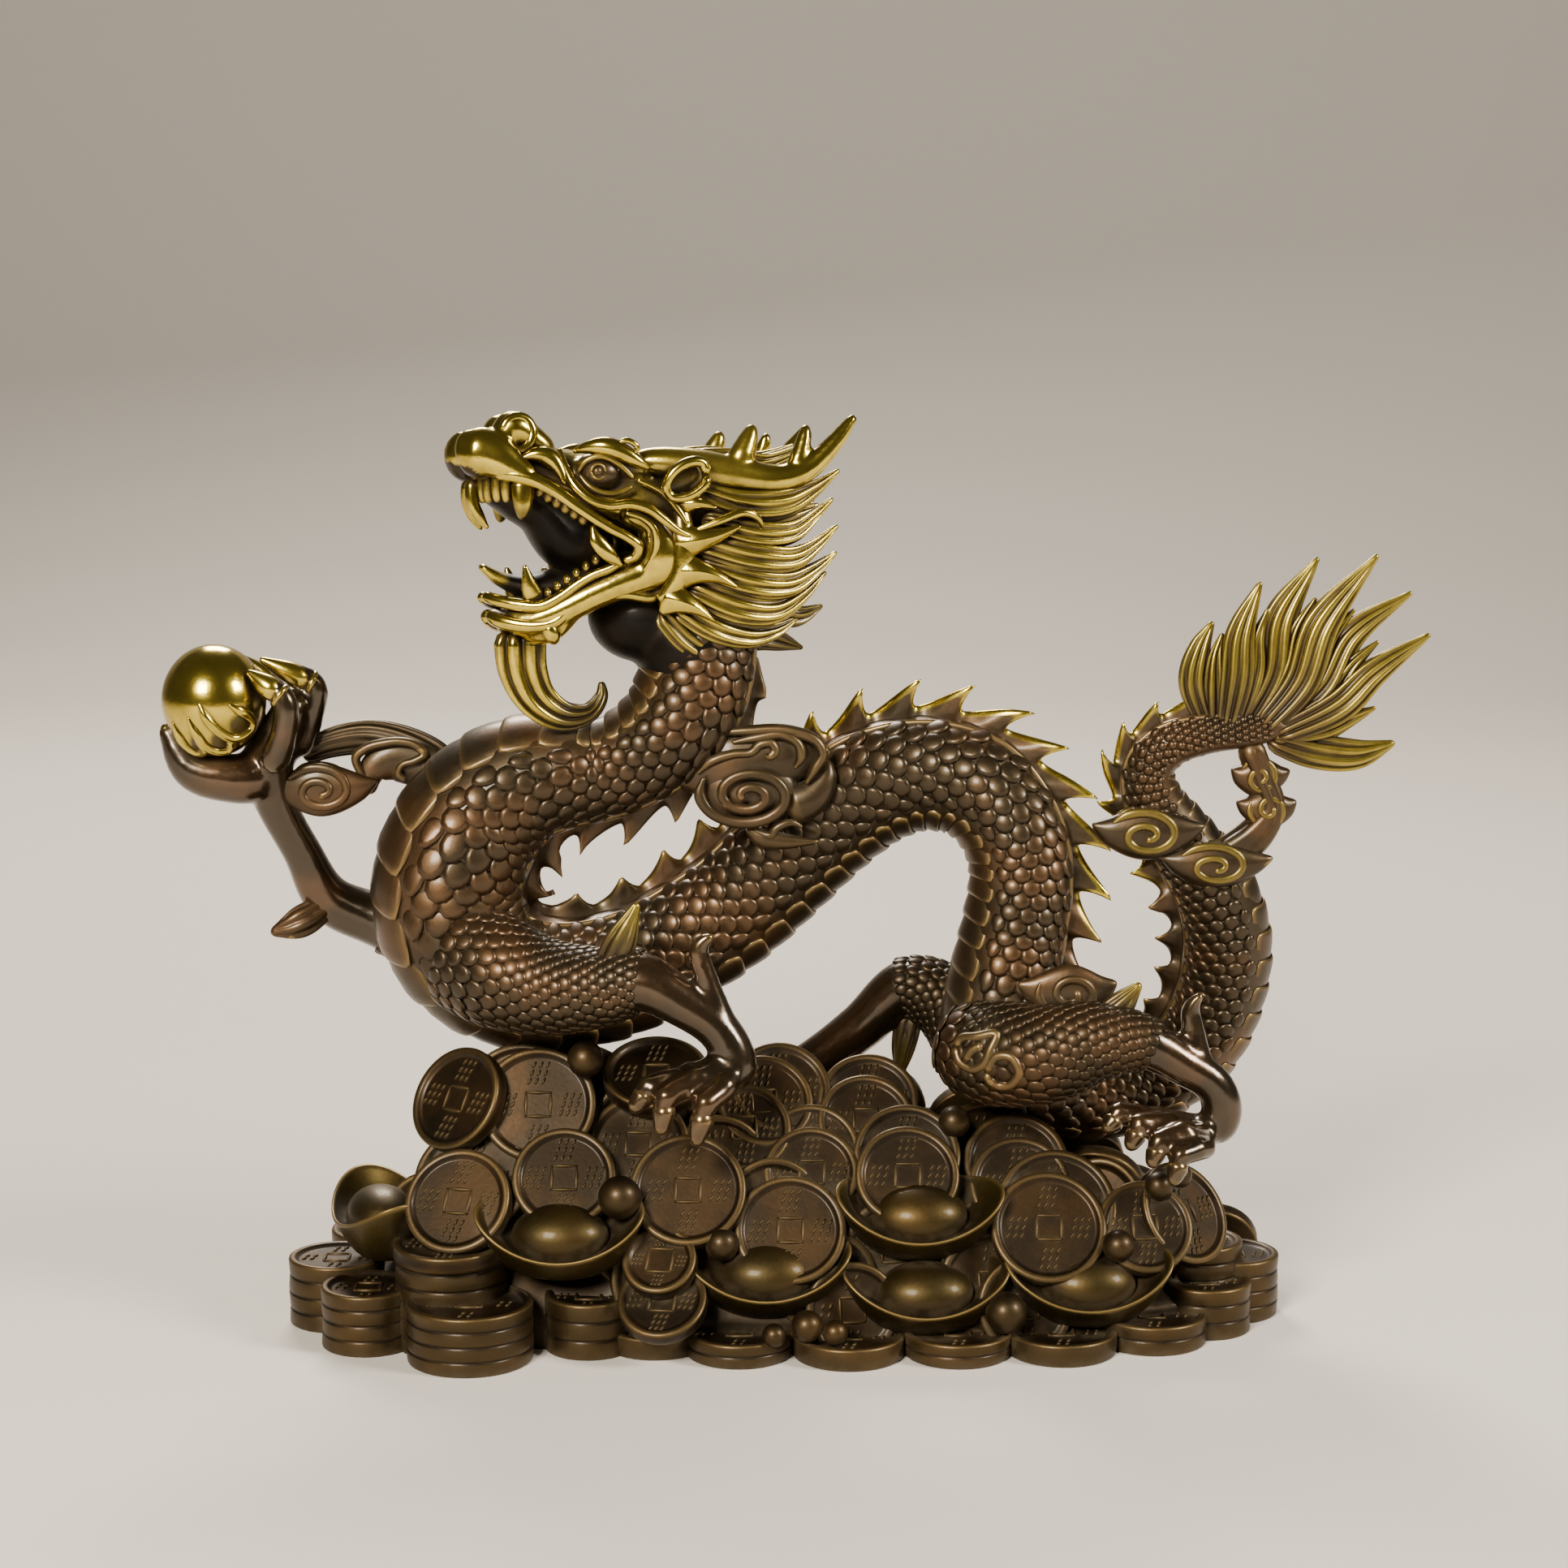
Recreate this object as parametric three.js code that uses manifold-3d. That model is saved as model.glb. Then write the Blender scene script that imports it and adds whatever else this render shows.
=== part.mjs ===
// A cast brass dragon, brazed onto the casting that it stands on: a heap of coins, ingots and pearls.
// The dragon faces -X, its near side faces -Y, and +Z is up. Lengths are in millimetres.
// The origin is at the middle of the figure's box, on the surface that the heap stands on.
import * as THREE from "three";
import { mergeVertices } from "three/addons/utils/BufferGeometryUtils.js";
import Module from "manifold-3d";

const wasm = await Module();
wasm.setup();

// Driving dimensions
const HEAP_LENGTH = 196;
const HEAP_DEPTH = 72;
const HEAP_MIDDLE = 7;
const HEAP_CREST = 53;
// The crest rises over the first span of x from the left, and falls by this share over the second
const CREST_RISE = [-100, -66];
const CREST_FALL = [-40, 96];
const CREST_FALL_SHARE = 0.38;
// The mound draws in by this share from its foot to its crest, and is squarer than an oval
const MOUND_TAPER = 0.62;
const MOUND_FOOT = 0.2;
const SQUARENESS = 0.8;
const SKIRT_HEIGHT = 11;
const SKIRT_TOP = 0.7;
const SKIRT_WAVE = { out: 1.02, swing: 0.025, count: 9 };
const COIN_THICKNESS = 3.4;
const COIN_RIM = 1.5;
const COIN_RECESS = 0.8;
const INGOT_HALF_LENGTH = 17;
const INGOT_HALF_DEPTH = 10;
const INGOT_HEIGHT = 8;
const INGOT_HORN_RISE = 5;
const INGOT_DOME = [9.4, 6.6, 5.4];
const INGOT_FOOT_SHARE = 0.62;
const INGOT_HOLLOW = 3;
const INGOT_DOME_DROP = 1;
const FIN_HEIGHT = 8;
const FIN_PITCH = 10.2;
const FIN_THICKNESS = 2.6;
const FIN_LEAN = 0.3;
const FIN_WEB = 0.8;
const FIN_ROOT = 3;
const FIN_TIP_SHARE = 0.4;
// Where the body is thinner than this, the fin is lower in the same share
const FIN_FULL_BODY = 8;
// Where the fin runs, as shares of the body's length from the nape, and how tall it is against FIN_HEIGHT
const FIN_RUNS = [[0.04, 0.2, 0.85], [0.22, 0.39, 0.65], [0.41, 0.63, 1], [0.75, 0.96, 0.72]];
const HEAD_YAW = THREE.MathUtils.degToRad(18);
const HEAD_CENTRE = new THREE.Vector3(-29.2, -4, 164.9);
const PEARL_RADIUS = 11.5;
const SCALE_HEIGHT = 0.6;

const CLEARANCE = 0.4;
const FINEST_EDGE = 0.4;
const BODY_FACETS = [8, 42];

const NEAR_SIDE = new THREE.Vector3(0, -1, 0);

// The body from the nape to the root of the tail flame: x, y, z and half thickness to the skin.
// The scales stand SCALE_HEIGHT above the skin.
const BODY = [
  [-16.4, -4, 149.8, 9.5], [-18.1, -4, 141.9, 11], [-19.8, -4, 133.6, 11.4], [-23.1, -4, 126.1, 11],
  [-30.3, -3, 119.3, 10.2], [-38.7, -2, 115.2, 9.9], [-46.5, -2, 114.5, 11.1], [-54.4, -1, 112.8, 12.8],
  [-62.2, 0, 107.6, 14.1], [-67.7, 0, 100, 15], [-70.3, 1, 91.2, 15.4], [-69.3, 2, 82.1, 15.3],
  [-64.1, 3, 74.7, 14.7], [-54.6, 4, 70.5, 14], [-43.7, 5, 70.3, 13.4], [-31.9, 6, 73.7, 12.7],
  [-21.3, 7, 79.7, 12.4], [-12.2, 8, 86.1, 12.2], [-2.7, 8, 95.1, 12.2], [6.8, 7, 104.5, 12.3],
  [16.5, 5, 111.6, 12.1], [27.1, 3, 114.4, 11.5], [37.1, 1, 112.2, 11.1], [43.7, 0, 105.4, 10.5],
  [46.7, 0, 97.8, 10.3], [47.1, 0, 90.8, 10.3], [45.8, 0, 81.6, 10.5], [44.1, 0, 72.2, 10.9],
  [43.2, 2, 61.1, 11.5], [49, 8, 49.9, 11.3], [60.8, 13, 44.5, 10.2], [74, 15, 46.1, 9.7],
  [84.4, 13, 54.5, 9.6], [89.3, 11, 65.3, 9.4], [90.5, 9, 77.4, 9.2], [87.6, 7, 88.5, 8.4],
  [80.5, 6, 99.3, 7.2], [74.2, 4, 108.2, 6.1], [73.1, 3, 115.1, 5.4], [77.1, 2, 119.8, 4.8],
  [84.4, 1, 122.1, 4.1], [93.4, 0, 123.1, 3.4], [101.7, 0, 124.3, 2.4],
].map(([x, y, z, half]) => [x, y, z, half + SCALE_HEIGHT]);

// Limbs: each row is x, y, z and half thickness
const RAISED_ARM = [
  [-70, 12, 74, 7], [-87, 13, 80.8, 5.8], [-97.5, 11, 86, 5.1], [-102.5, 8, 96.5, 4.1],
  [-107.5, 5, 108, 4.4], [-108.5, 4, 116, 5.5], [-104.5, 4, 124, 4.6], [-102, 4, 131, 3.4],
];
const NEAR_FORELEG = [
  [-67, -7, 78, 11.5], [-60, -11, 75, 11], [-50, -14, 72.5, 9.4], [-40, -17, 73, 7.8],
  [-30.5, -19, 74.5, 6.1], [-22.5, -20.5, 70.5, 4.8], [-15, -21, 65, 4.4], [-11.8, -21.5, 58.5, 4.5],
  [-12.5, -21.5, 53, 4.4],
];
const NEAR_HINDLEG = [
  [38, -8, 57, 11], [49.5, -14, 58.5, 9.8], [61, -16, 61.5, 7.8], [70.5, -17, 61.5, 5.4],
  [79, -17, 57, 4.3], [85, -17, 53, 4], [87, -16.5, 47, 4.2], [84, -16, 41, 4.2],
];
const FAR_HINDLEG = [
  [42, 12, 52, 10], [33, 18, 62, 7.8], [24.5, 20, 65, 6.2], [14.5, 22, 56, 5.2],
  [4, 24, 47.5, 4.9], [-6, 26, 41, 5],
];
const LEGS = [NEAR_FORELEG, NEAR_HINDLEG, FAR_HINDLEG];
const HEEL_SPURS = [
  [[-14, -21, 64.5, 3.5], [-17.3, -21, 75, 2.4], [-19, -21, 82, 2.1], [-16, -22, 85, 0.8]],
  [[83, -16, 53, 3.2], [81, -16, 63.5, 2.4], [80.4, -16, 68.5, 1.9], [82.5, -17, 72, 0.8]],
];
// Toes: root, knuckle, last joint and claw tip
const TOES = [
  [[-12, -21, 59, 2.8], [-20.8, -24, 56.3, 2.5], [-29, -26, 54.3, 2.4], [-32.5, -28, 50, 0.9]],
  [[-12, -22, 59, 2.9], [-19.3, -26, 56, 2.6], [-25.4, -29, 53, 2.4], [-26.6, -31, 46, 0.9]],
  [[-11.5, -22, 58, 2.9], [-14, -27, 54.5, 2.7], [-17.6, -30.5, 52, 2.5], [-19.6, -32, 44, 0.9]],
  [[85.5, -14, 43, 2.6], [74.5, -14, 45, 2.3], [66.3, -15, 46, 2.3], [63, -17, 43, 0.9]],
  [[85.5, -16, 42, 2.6], [76, -18, 45, 2.3], [70, -20, 45, 2.3], [67.5, -22, 40.5, 0.9]],
  [[85.5, -18, 41.5, 2.6], [78.6, -22, 44, 2.3], [73.5, -24, 42.5, 2.2], [71.5, -26, 38, 0.9]],
  [[84.5, -20, 41, 2.6], [81, -24, 41, 2.2], [77.6, -26, 40.3, 2.2], [75.7, -28, 34.8, 0.9]],
  [[-4, 26, 42, 3], [-10, 29, 42, 2.6], [-16, 31, 41, 2.4], [-19, 32, 36, 0.9]],
  [[-4, 27, 42, 3], [-8, 32, 41, 2.6], [-12, 35, 39, 2.4], [-14, 37, 33, 0.9]],
];
// Fingers that hold the pearl, and the thumb under it
const FINGERS = [
  [[-107, -3, 115, 3.4], [-103.4, -5.5, 124, 2.8], [-103.4, -6, 130.5, 2.5], [-110.8, -5.5, 136, 0.8]],
  [[-103, 5, 117, 3.2], [-99.6, 5.5, 126, 2.8], [-98.8, 5, 132, 2.5], [-109.5, 2.5, 137.6, 0.8]],
  [[-107, 9, 115, 3], [-106, 12, 124, 2.6], [-108.5, 12, 131, 2.3], [-115.5, 7, 138.2, 0.8]],
  [[-107, 3, 113, 5.4], [-115.5, 1, 113, 5.2], [-123.5, 0, 115.3, 4.4], [-129, -1, 124.5, 1.4]],
];
const PEARL = [-118.6, 0, 129.3];

// Leaf tufts at the elbows and hocks: x, y, z, half width in the side view and half depth
const TUFTS = [
  [[-97, 9, 85.5, 2.6, 2], [-103.3, 6, 81.7, 3.4, 2.4], [-109, 5, 79.8, 0.8, 0.8]],
  [[-38, -19, 75, 3.2, 2], [-34.8, -20, 83, 3.4, 2], [-31.3, -20, 91, 0.7, 0.7]],
  [[62, -15, 64, 3.8, 2], [66.3, -15, 69, 3, 2], [70.2, -15, 73.5, 0.7, 0.7]],
  [[25, 20, 60, 3.2, 2.2], [23.6, 20, 51.5, 2.6, 2], [22.8, 20, 45.5, 0.8, 0.8]],
];

// Cloud scrolls: centre, half width, half height, half thickness and the turn of the spiral
const SCROLLS = [
  [-9.2, -9.5, 111.6, 10.6, 7.2, 5, 1], [-97.5, 3, 110.4, 8.2, 5.8, 3, -1], [72.1, -2, 102, 8.4, 5.6, 3.6, -1],
  [86.4, -1, 95.3, 8.4, 5, 3.6, -1], [95.6, 1, 113.4, 4.4, 4.4, 3.2, -1], [97.6, 1, 106.8, 4.5, 4.5, 3.2, 1],
  [56.2, -11, 70.7, 7.4, 6, 3, 1], [-3, 18, 112, 11, 7, 4, -1],
];
// The spiral ridge on a scroll: steps, and its place and fall towards the middle as shares of the half size
const SPIRAL = { steps: 6, rim: 0.92, fall: 0.12, thick: 0.14, rise: 1.2 };
// The smooth plate and lobe under the large scroll, and the hooked leaf below it
const CLOUD_PLATES = [
  [[-25.4, -6.5, 113.4, 0.8, 1], [-20, -7, 115.2, 5, 2.6], [-13, -7.5, 116, 8, 3.4], [-6.5, -7.5, 117.6, 6.9, 3.4],
   [-1, -7.2, 118.6, 5.2, 3.2], [4, -6.4, 118.8, 3.6, 2.6], [7.8, -5.6, 119.4, 0.8, 1]],
  [[-2, -8, 108, 4, 3], [3.4, -7.6, 110.4, 3.8, 3], [6.4, -7, 114.4, 2.4, 2.2], [6.8, -6.4, 118, 0.9, 1]],
  [[-9.4, -9.2, 104.6, 0.8, 1], [-6.6, -9.2, 102.4, 2, 1.6], [-2, -9, 101.6, 1.7, 1.6], [5, -8.6, 101.5, 0.6, 0.7]],
];
// Cloud that ties the flame to the tail, and the two leaves that tie the hand to the chest
const RIBBONS = [
  [[88, 1, 96, 4, 3], [95, 1, 101, 4, 3], [98.5, 1, 107, 3, 3], [96, 1, 114, 3, 3], [93, 0, 121, 3, 2.6]],
  [[-102, 7, 117, 2.4, 1.6], [-96, 8.6, 119.4, 3.2, 2], [-89, 9.6, 120.4, 3.8, 2.2], [-82, 9.6, 119, 4.2, 2.4],
   [-75, 9, 115.6, 4.4, 2.6], [-70, 8, 112, 3, 2.6]],
  [[-87.8, 5.4, 109, 1, 1.2], [-87.4, 6, 113.4, 3, 1.8], [-84, 6.6, 115.8, 4.2, 2.2], [-79, 7, 115.4, 4.8, 2.4],
   [-73, 7, 112.6, 4.4, 2.6]],
];

// Tail flame: root, belly, neck and tip of seven tongues, with half width and half depth
const FLAME = [
  [[84.6, 1, 124, 2.2, 2], [81.8, 1, 133, 3.2, 2.4], [82.9, 1, 139.8, 2.4, 1.9], [85.5, 1, 145.4, 0.7, 0.7]],
  [[88.6, -1, 123.6, 2.6, 2.4], [90.3, -1, 134, 3.8, 2.8], [90.9, -1, 143, 3.1, 2.2], [94.8, -1, 153.7, 0.7, 0.7]],
  [[92.4, 1, 123.6, 2.8, 2.6], [98, 1, 134.5, 4.2, 3], [99.4, 1, 146, 3.7, 2.4], [106.7, 1, 158.5, 0.7, 0.7]],
  [[95.6, -1, 123.4, 2.8, 2.8], [103.4, -1, 133, 4, 3.2], [107.4, -1, 145, 3.8, 2.6], [118.5, -1, 159.2, 0.7, 0.7]],
  [[97.6, 1, 122.8, 2.8, 2.8], [108.1, 1, 131.8, 4, 3.2], [113.6, 1, 142.4, 3.4, 2.4], [126, 1, 151.4, 0.7, 0.7]],
  [[98.6, -1, 122, 2.6, 2.6], [111.1, -1, 128.1, 4, 3], [118.4, -1, 135.2, 3.2, 2.2], [129.6, -1, 143, 0.7, 0.7]],
  [[97, 0, 121.6, 2.8, 2.4], [106.5, 0, 118.9, 3.9, 2.6], [115.6, 0, 118.2, 3.2, 2.2], [123.2, 0, 120.6, 0.8, 0.8]],
];

// Head, in its own frame: u forward along the snout, v up, w towards the near side,
// then half height and half width. The rows below lie on the middle plane.
const SKULL = [
  [-14, -1, 0, 9.6, 10], [-2, 4.6, 0, 9.4, 12.5], [8.4, 7.2, 0, 7.6, 10.5], [18.5, 10.2, 0, 6, 8],
  [27, 13, 0, 4.8, 7], [33.5, 14.6, 0, 4.4, 6.4], [38, 14.8, 0, 3.4, 5],
];
const TONGUE = [
  [0, -8, 0, 4, 7], [12, -9.5, 0, 3.6, 6.5], [25, -11.3, 0, 2.6, 4.6], [32, -8.6, 0, 1.6, 3], [35.2, -6.4, 0, 0.8, 1.4],
];
const BEARD = [
  [27, -19, 0, 5.8, 3.6], [26.4, -28, 0, 5.2, 3.4], [23.5, -34, 0, 4.3, 3], [18, -37.6, 0, 3.2, 2.6],
  [12.8, -37, 0, 2.1, 2.1], [10.2, -33.8, 0, 1.4, 1.4], [10.2, -30.8, 0, 0.6, 0.6],
];
// Forms that both sides of the head have
const HEAD_PAIRS = {
  rolledLip: [
    [38.6, 15, 1.5, 5.2], [36, 15.6, 4.8, 5.2], [31, 13.4, 8, 3.4], [21.2, 7.4, 11.8, 2.1], [13.5, 1.6, 14, 1.7],
    [7, -2, 15, 1.5], [8.6, -7, 14, 1.1],
  ],
  nostril: [[31.6, 17.4, 5, 1.8], [30.5, 22, 5.6, 2.6], [24.5, 17.5, 5.6, 2.4]],
  cheek: [[1, 3, 10, 3.5, 4], [0.5, -5.5, 12.5, 5.4, 4.6], [3, -11, 11, 3.2, 3.4]],
  jaw: [[31, -17.2, 2, 3.4], [25, -17.8, 6, 3.7], [12.3, -11, 10, 3.8], [-2, -6, 11, 5.2]],
  brow: [[16.4, 14, 9, 1.4], [11, 17.4, 10, 2.5], [3.4, 13.2, 12, 1]],
  upperFang: [[26, 10.5, 8.4, 2.3], [28.1, 2.4, 9, 0.6]],
  lowerFang: [[26, -14.5, 7.4, 2.1], [27.6, -6.4, 8, 0.6]],
  ear: [[1, 10, 12, 2.4, 1.6], [-3.6, 10.4, 16, 4.2, 1.8], [-8.4, 12.6, 17.6, 1.6, 1]],
  horn: [
    [4, 13.4, 7.4, 2.8], [-10, 11.9, 10.8, 3.9], [-21.3, 10, 13, 3.3], [-30, 12.8, 14.4, 2.4], [-38.8, 22.6, 14.6, 0.9],
  ],
  hornProng: [[-14.4, 11.5, 12, 3.5], [-18.5, 21, 11, 0.9]],
  hornSecondProng: [[-26, 11.5, 14, 2.5], [-29.2, 20.8, 13, 0.8]],
};
// Fine forms that the near side alone has as solids
const HEAD_NEAR = {
  lowerLip: [[33.4, -14.6, 1, 1.6], [25, -15, 7.6, 1.6], [17, -10.4, 10.4, 1.4], [9.4, -6, 13, 1.2]],
  cheekWhisker: [[20, 15.5, 7, 1.2], [17, 7.4, 11, 1.2], [6.6, 5.3, 14, 1.3], [-3.4, -0.5, 17.4, 0.7]],
  mouthFlap: [[15.3, 1.5, 13.4, 0.6], [12.6, -2.4, 14, 1.9], [9.6, -6.6, 13.4, 0.6]],
};
const EYES = { place: [13.2, 11.8, 8.6], radius: 3.3 };
// Mane locks on both sides: half height and half depth
const MANE_PAIRS = [
  [[-6, 7.8, 12, 2.6, 2.4], [-20, 5.4, 14.6, 3.4, 2.4], [-36.2, 11.4, 12.6, 0.6, 0.6]],
  [[-6, -2.6, 14, 2.8, 2.4], [-20, -5, 16.4, 3.2, 2.4], [-35.6, 0.4, 13.6, 0.6, 0.6]],
  [[-5, -11, 13.6, 2.8, 2.4], [-18, -15.4, 15.8, 3.4, 2.4], [-33.4, -9, 12.6, 0.6, 0.6]],
  [[0, -16, 11.6, 2.6, 2.2], [-9, -23.4, 12.4, 2.8, 2.2], [-17.8, -26.2, 9.4, 0.6, 0.6]],
];
const MANE_NEAR = [
  [[-6, 2.2, 13.4, 2.6, 2.4], [-20, 0, 15.8, 3, 2.3], [-34.6, 5.8, 13.2, 0.6, 0.6]],
  [[-6, -7.4, 14, 2.6, 2.4], [-19, -10.4, 16, 3.1, 2.4], [-35.4, -5, 13.2, 0.6, 0.6]],
  [[-2, -14.6, 12.6, 2.8, 2.3], [-13, -20, 14, 3.2, 2.4], [-28, -18, 11.4, 0.6, 0.6]],
];
// Locks down the middle of the back of the head
const MANE_MIDDLE = [
  [[-6, 12, 0, 3, 8], [-20, 11.6, 0, 3, 7], [-31, 16, 0, 0.6, 0.6]],
  [[-10, 3, 0, 6, 9], [-23, 1, 0, 5, 7], [-35, 5, 0, 0.6, 0.6]],
  [[-10, -8, 0, 7, 9], [-23, -10, 0, 5, 7], [-34, -10, 0, 0.6, 0.6]],
];
// Pointed frill behind the jaw: root and tip
const FRILL_PAIRS = [
  [[-2, 5.4, 14, 2.8, 1.4], [-9, 4.8, 17.4, 0.6, 0.6]], [[-1, -2.2, 14.4, 4, 1.6], [-13.6, 1.1, 18.6, 0.6, 0.6]],
  [[-1, -7.8, 14.4, 4, 1.6], [-13, -10.8, 18.2, 0.6, 0.6]],
  [[1.4, -12.4, 13.4, 3.8, 1.6], [-8.6, -17.5, 17, 0.6, 0.6]],
];
// The far side of the head lies lower by this share of its distance from the middle: the head is tilted
const FAR_SIDE_DROP = 0.2;
// The throat, and the root of the mane under its locks: centre and half sizes
const THROAT = [-30.4, -4, 147, 11.4, 10, 9.4];
const MANE_ROOT = [-14, -1, 157, 11.5, 12.5, 14.6];
const MANE_ROOT_FACETS = [8, 6];

// Coins that lean on the heap: x, y, z of the face centre, radius, turn about Z and lean back.
// The first list shows its faces, so those coins have rims.
const FACING_COINS = [
  [-52.2, -14, 48.2, 11.9, 0, 28], [-67.9, -25.5, 31.2, 11, -14, 34], [-46.4, -23.5, 35.5, 10.5, 0, 34],
  [-21.4, -23, 32.8, 11.8, 0, 34], [-0.7, -25, 25, 11.3, 0, 32], [51.6, -23, 25, 11.7, 0, 34],
  [71.4, -21, 24.5, 9.8, 6, 34], [23.1, -18.5, 34.6, 10.6, 0, 36], [3.6, -18, 34.6, 9.8, 0, 36],
];
const LEANING_COINS = [
  [-69.5, -12, 49, 11, -38, 30], [-56.4, -9.5, 48.2, 12, -6, 30], [-31.8, -15, 40.3, 10.5, 0, 38],
  [-28.5, -5, 53, 11, 0, 62], [-10.2, -10.5, 42.5, 9.8, 6, 38], [-2.5, -3, 49, 10.5, 10, 40],
  [14.9, -8, 43.5, 10, 0, 38], [15.5, -3, 46.5, 10.5, 0, 40], [46, -14, 34.5, 10.6, 0, 38],
  [53.5, -18.5, 28, 12.3, 0, 36], [80.5, -14, 25.4, 11, 40, 32], [-26.4, -34, 13.5, 9, -8, 50],
  [-66, 17, 37, 11.5, 160, 36], [-22, 21, 36, 11.5, 180, 38], [22, 21, 32, 11.5, 180, 38],
  [-45, 12, 47, 11.5, 175, 34], [-4, 14, 43, 11, 180, 38], [60, 21, 28, 11, 190, 36],
];
// Stacks and lying coins: x, y, top, radius
const STACKS = [
  [-65, -30.9, 12.1, 12.8], [-86.5, -21.5, 12.6, 9.6], [-95, -6, 14, 10], [-41.5, -24, 11.5, 9],
  [-28, -22, 4.5, 11], [85, -11, 10.5, 9.5], [92, 0, 13, 9.8], [-69.5, -22, 21.2, 11.4], [84, -4, 17, 9.5],
  [-88, 18, 13, 11.5], [-64, 31, 12.4, 11.5], [-32, 32, 13, 11.5], [6, 32, 12.4, 11.5], [44, 31, 13, 11.5],
  [78, 22, 12.4, 11.5], [-11, -27.5, 5, 11], [11, -28.5, 4.6, 11.4], [33, -27.5, 5, 11], [54, -26, 4.6, 11.4],
  [73, -19, 6, 11.4],
];
// Ingots: x, y, z of the rim centre, turn about Z, tilt towards the front
const INGOTS = [
  [-47, -27, 25.5, 0, 28], [-5.5, -25, 17, 0, 28], [25.5, -20, 27.5, 0, 28], [26.5, -25, 13, 0, 24],
  [59.5, -23.5, 14.5, 0, 28], [-85, -9, 24.5, -70, 10], [-8, 31, 22, 180, 28], [38, 30, 20, 180, 28],
];
// Small pearls: x, y, z, radius
const SMALL_PEARLS = [
  [-35, -26.5, 32, 4.4], [-42.5, -12, 57, 3.8], [-14.5, -27, 22.5, 3.4], [65.5, -25, 21.5, 3.3],
  [42.5, -31, 9.5, 4.2],
];

// A closed geometry as a solid that can be joined or cut
function solidOf(geometry) {
  const bare = geometry.clone();
  for (const name of Object.keys(bare.attributes)) {
    if (name !== "position") bare.deleteAttribute(name);
  }
  const merged = mergeVertices(bare, 1e-4);
  const kept = [];
  const index = merged.index.array;
  for (let i = 0; i < index.length; i += 3) {
    const [a, b, c] = [index[i], index[i + 1], index[i + 2]];
    if (a !== b && b !== c && c !== a) kept.push(a, b, c);
  }
  return new wasm.Manifold(new wasm.Mesh({
    numProp: 3,
    vertProperties: merged.attributes.position.array,
    triVerts: new Uint32Array(kept),
    tolerance: FINEST_EDGE,
  }));
}

function geometryOf(solid) {
  const mesh = solid.getMesh();
  const geometry = new THREE.BufferGeometry();
  geometry.setAttribute("position", new THREE.BufferAttribute(new Float32Array(mesh.vertProperties), 3));
  geometry.setIndex(new THREE.BufferAttribute(new Uint32Array(mesh.triVerts), 1));
  geometry.computeVertexNormals();
  return geometry;
}

function joined(solids) {
  return solids.reduce((whole, next) => whole.add(next));
}

// The main body of a solid, with its sealed hollows filled and its loose crumbs left out
function mainBody(solid) {
  return solid.decompose().reduce((largest, next) => (next.volume() > largest.volume() ? next : largest));
}

// Moves every vertex of a geometry to where place() says
function moved(geometry, place) {
  const position = geometry.attributes.position;
  const p = new THREE.Vector3();
  for (let i = 0; i < position.count; i++) {
    place(p.fromBufferAttribute(position, i));
    position.setXYZ(i, p.x, p.y, p.z);
  }
  return geometry;
}

// A smooth line through the rows, with the half sizes between them
function spine(rows, across = NEAR_SIDE) {
  const curve = new THREE.CatmullRomCurve3(rows.map((r) => new THREE.Vector3(r[0], r[1], r[2])));
  return (t) => {
    const at = Math.min(Math.max(t, 0), 1) * (rows.length - 1);
    const i = Math.min(Math.floor(at), rows.length - 2);
    const half = (k) => THREE.MathUtils.lerp(rows[i][k] ?? rows[i][3], rows[i + 1][k] ?? rows[i + 1][3], at - i);
    const along = curve.getTangent(t);
    const side = across.clone().addScaledVector(along, -across.dot(along)).normalize();
    return { centre: curve.getPoint(t), along, side, up: side.clone().cross(along), height: half(3), width: half(4) };
  };
}

// A rounded bar along the rows, with its own half height and half width at each
function bar(rows, sides = 5, steps = rows.length - 1, across = NEAR_SIDE) {
  const line = spine(rows, across);
  return solidOf(moved(new THREE.CylinderGeometry(1, 1, 1, sides, steps), (p) => {
    const s = line(p.y + 0.5);
    const { x, z } = p;
    p.copy(s.centre).addScaledVector(s.side, x * s.width).addScaledVector(s.up, z * s.height);
  }));
}

function ball(x, y, z, rx, ry = rx, rz = rx, round = 6, high = 4) {
  const geometry = new THREE.SphereGeometry(1, round, high);
  return solidOf(moved(geometry, (p) => p.set(x + p.x * rx, y - p.z * ry, z + p.y * rz)));
}

// Head frame
const FORWARD = new THREE.Vector3(-Math.cos(HEAD_YAW), -Math.sin(HEAD_YAW), 0);
const NEAR = new THREE.Vector3(Math.sin(HEAD_YAW), -Math.cos(HEAD_YAW), 0);

function inHead([u, v, w, ...rest]) {
  const p = HEAD_CENTRE.clone().addScaledVector(FORWARD, u).addScaledVector(NEAR, w);
  return [p.x, p.y, p.z + v, ...rest];
}

function headBar(rows, sides = 5, steps = rows.length - 1) {
  return bar(rows.map(inHead), sides, steps, NEAR);
}

function bothSides(rows, ...rest) {
  const far = rows.map(([u, v, w, ...r]) => [u, v - FAR_SIDE_DROP * Math.abs(w), -w, ...r]);
  return [rows, far].map((side) => headBar(side, ...rest));
}

// The body and the toothed fin along its back
const bodyLine = spine(BODY);
const bodyLength = new THREE.CatmullRomCurve3(BODY.map((r) => new THREE.Vector3(r[0], r[1], r[2]))).getLength();

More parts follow.
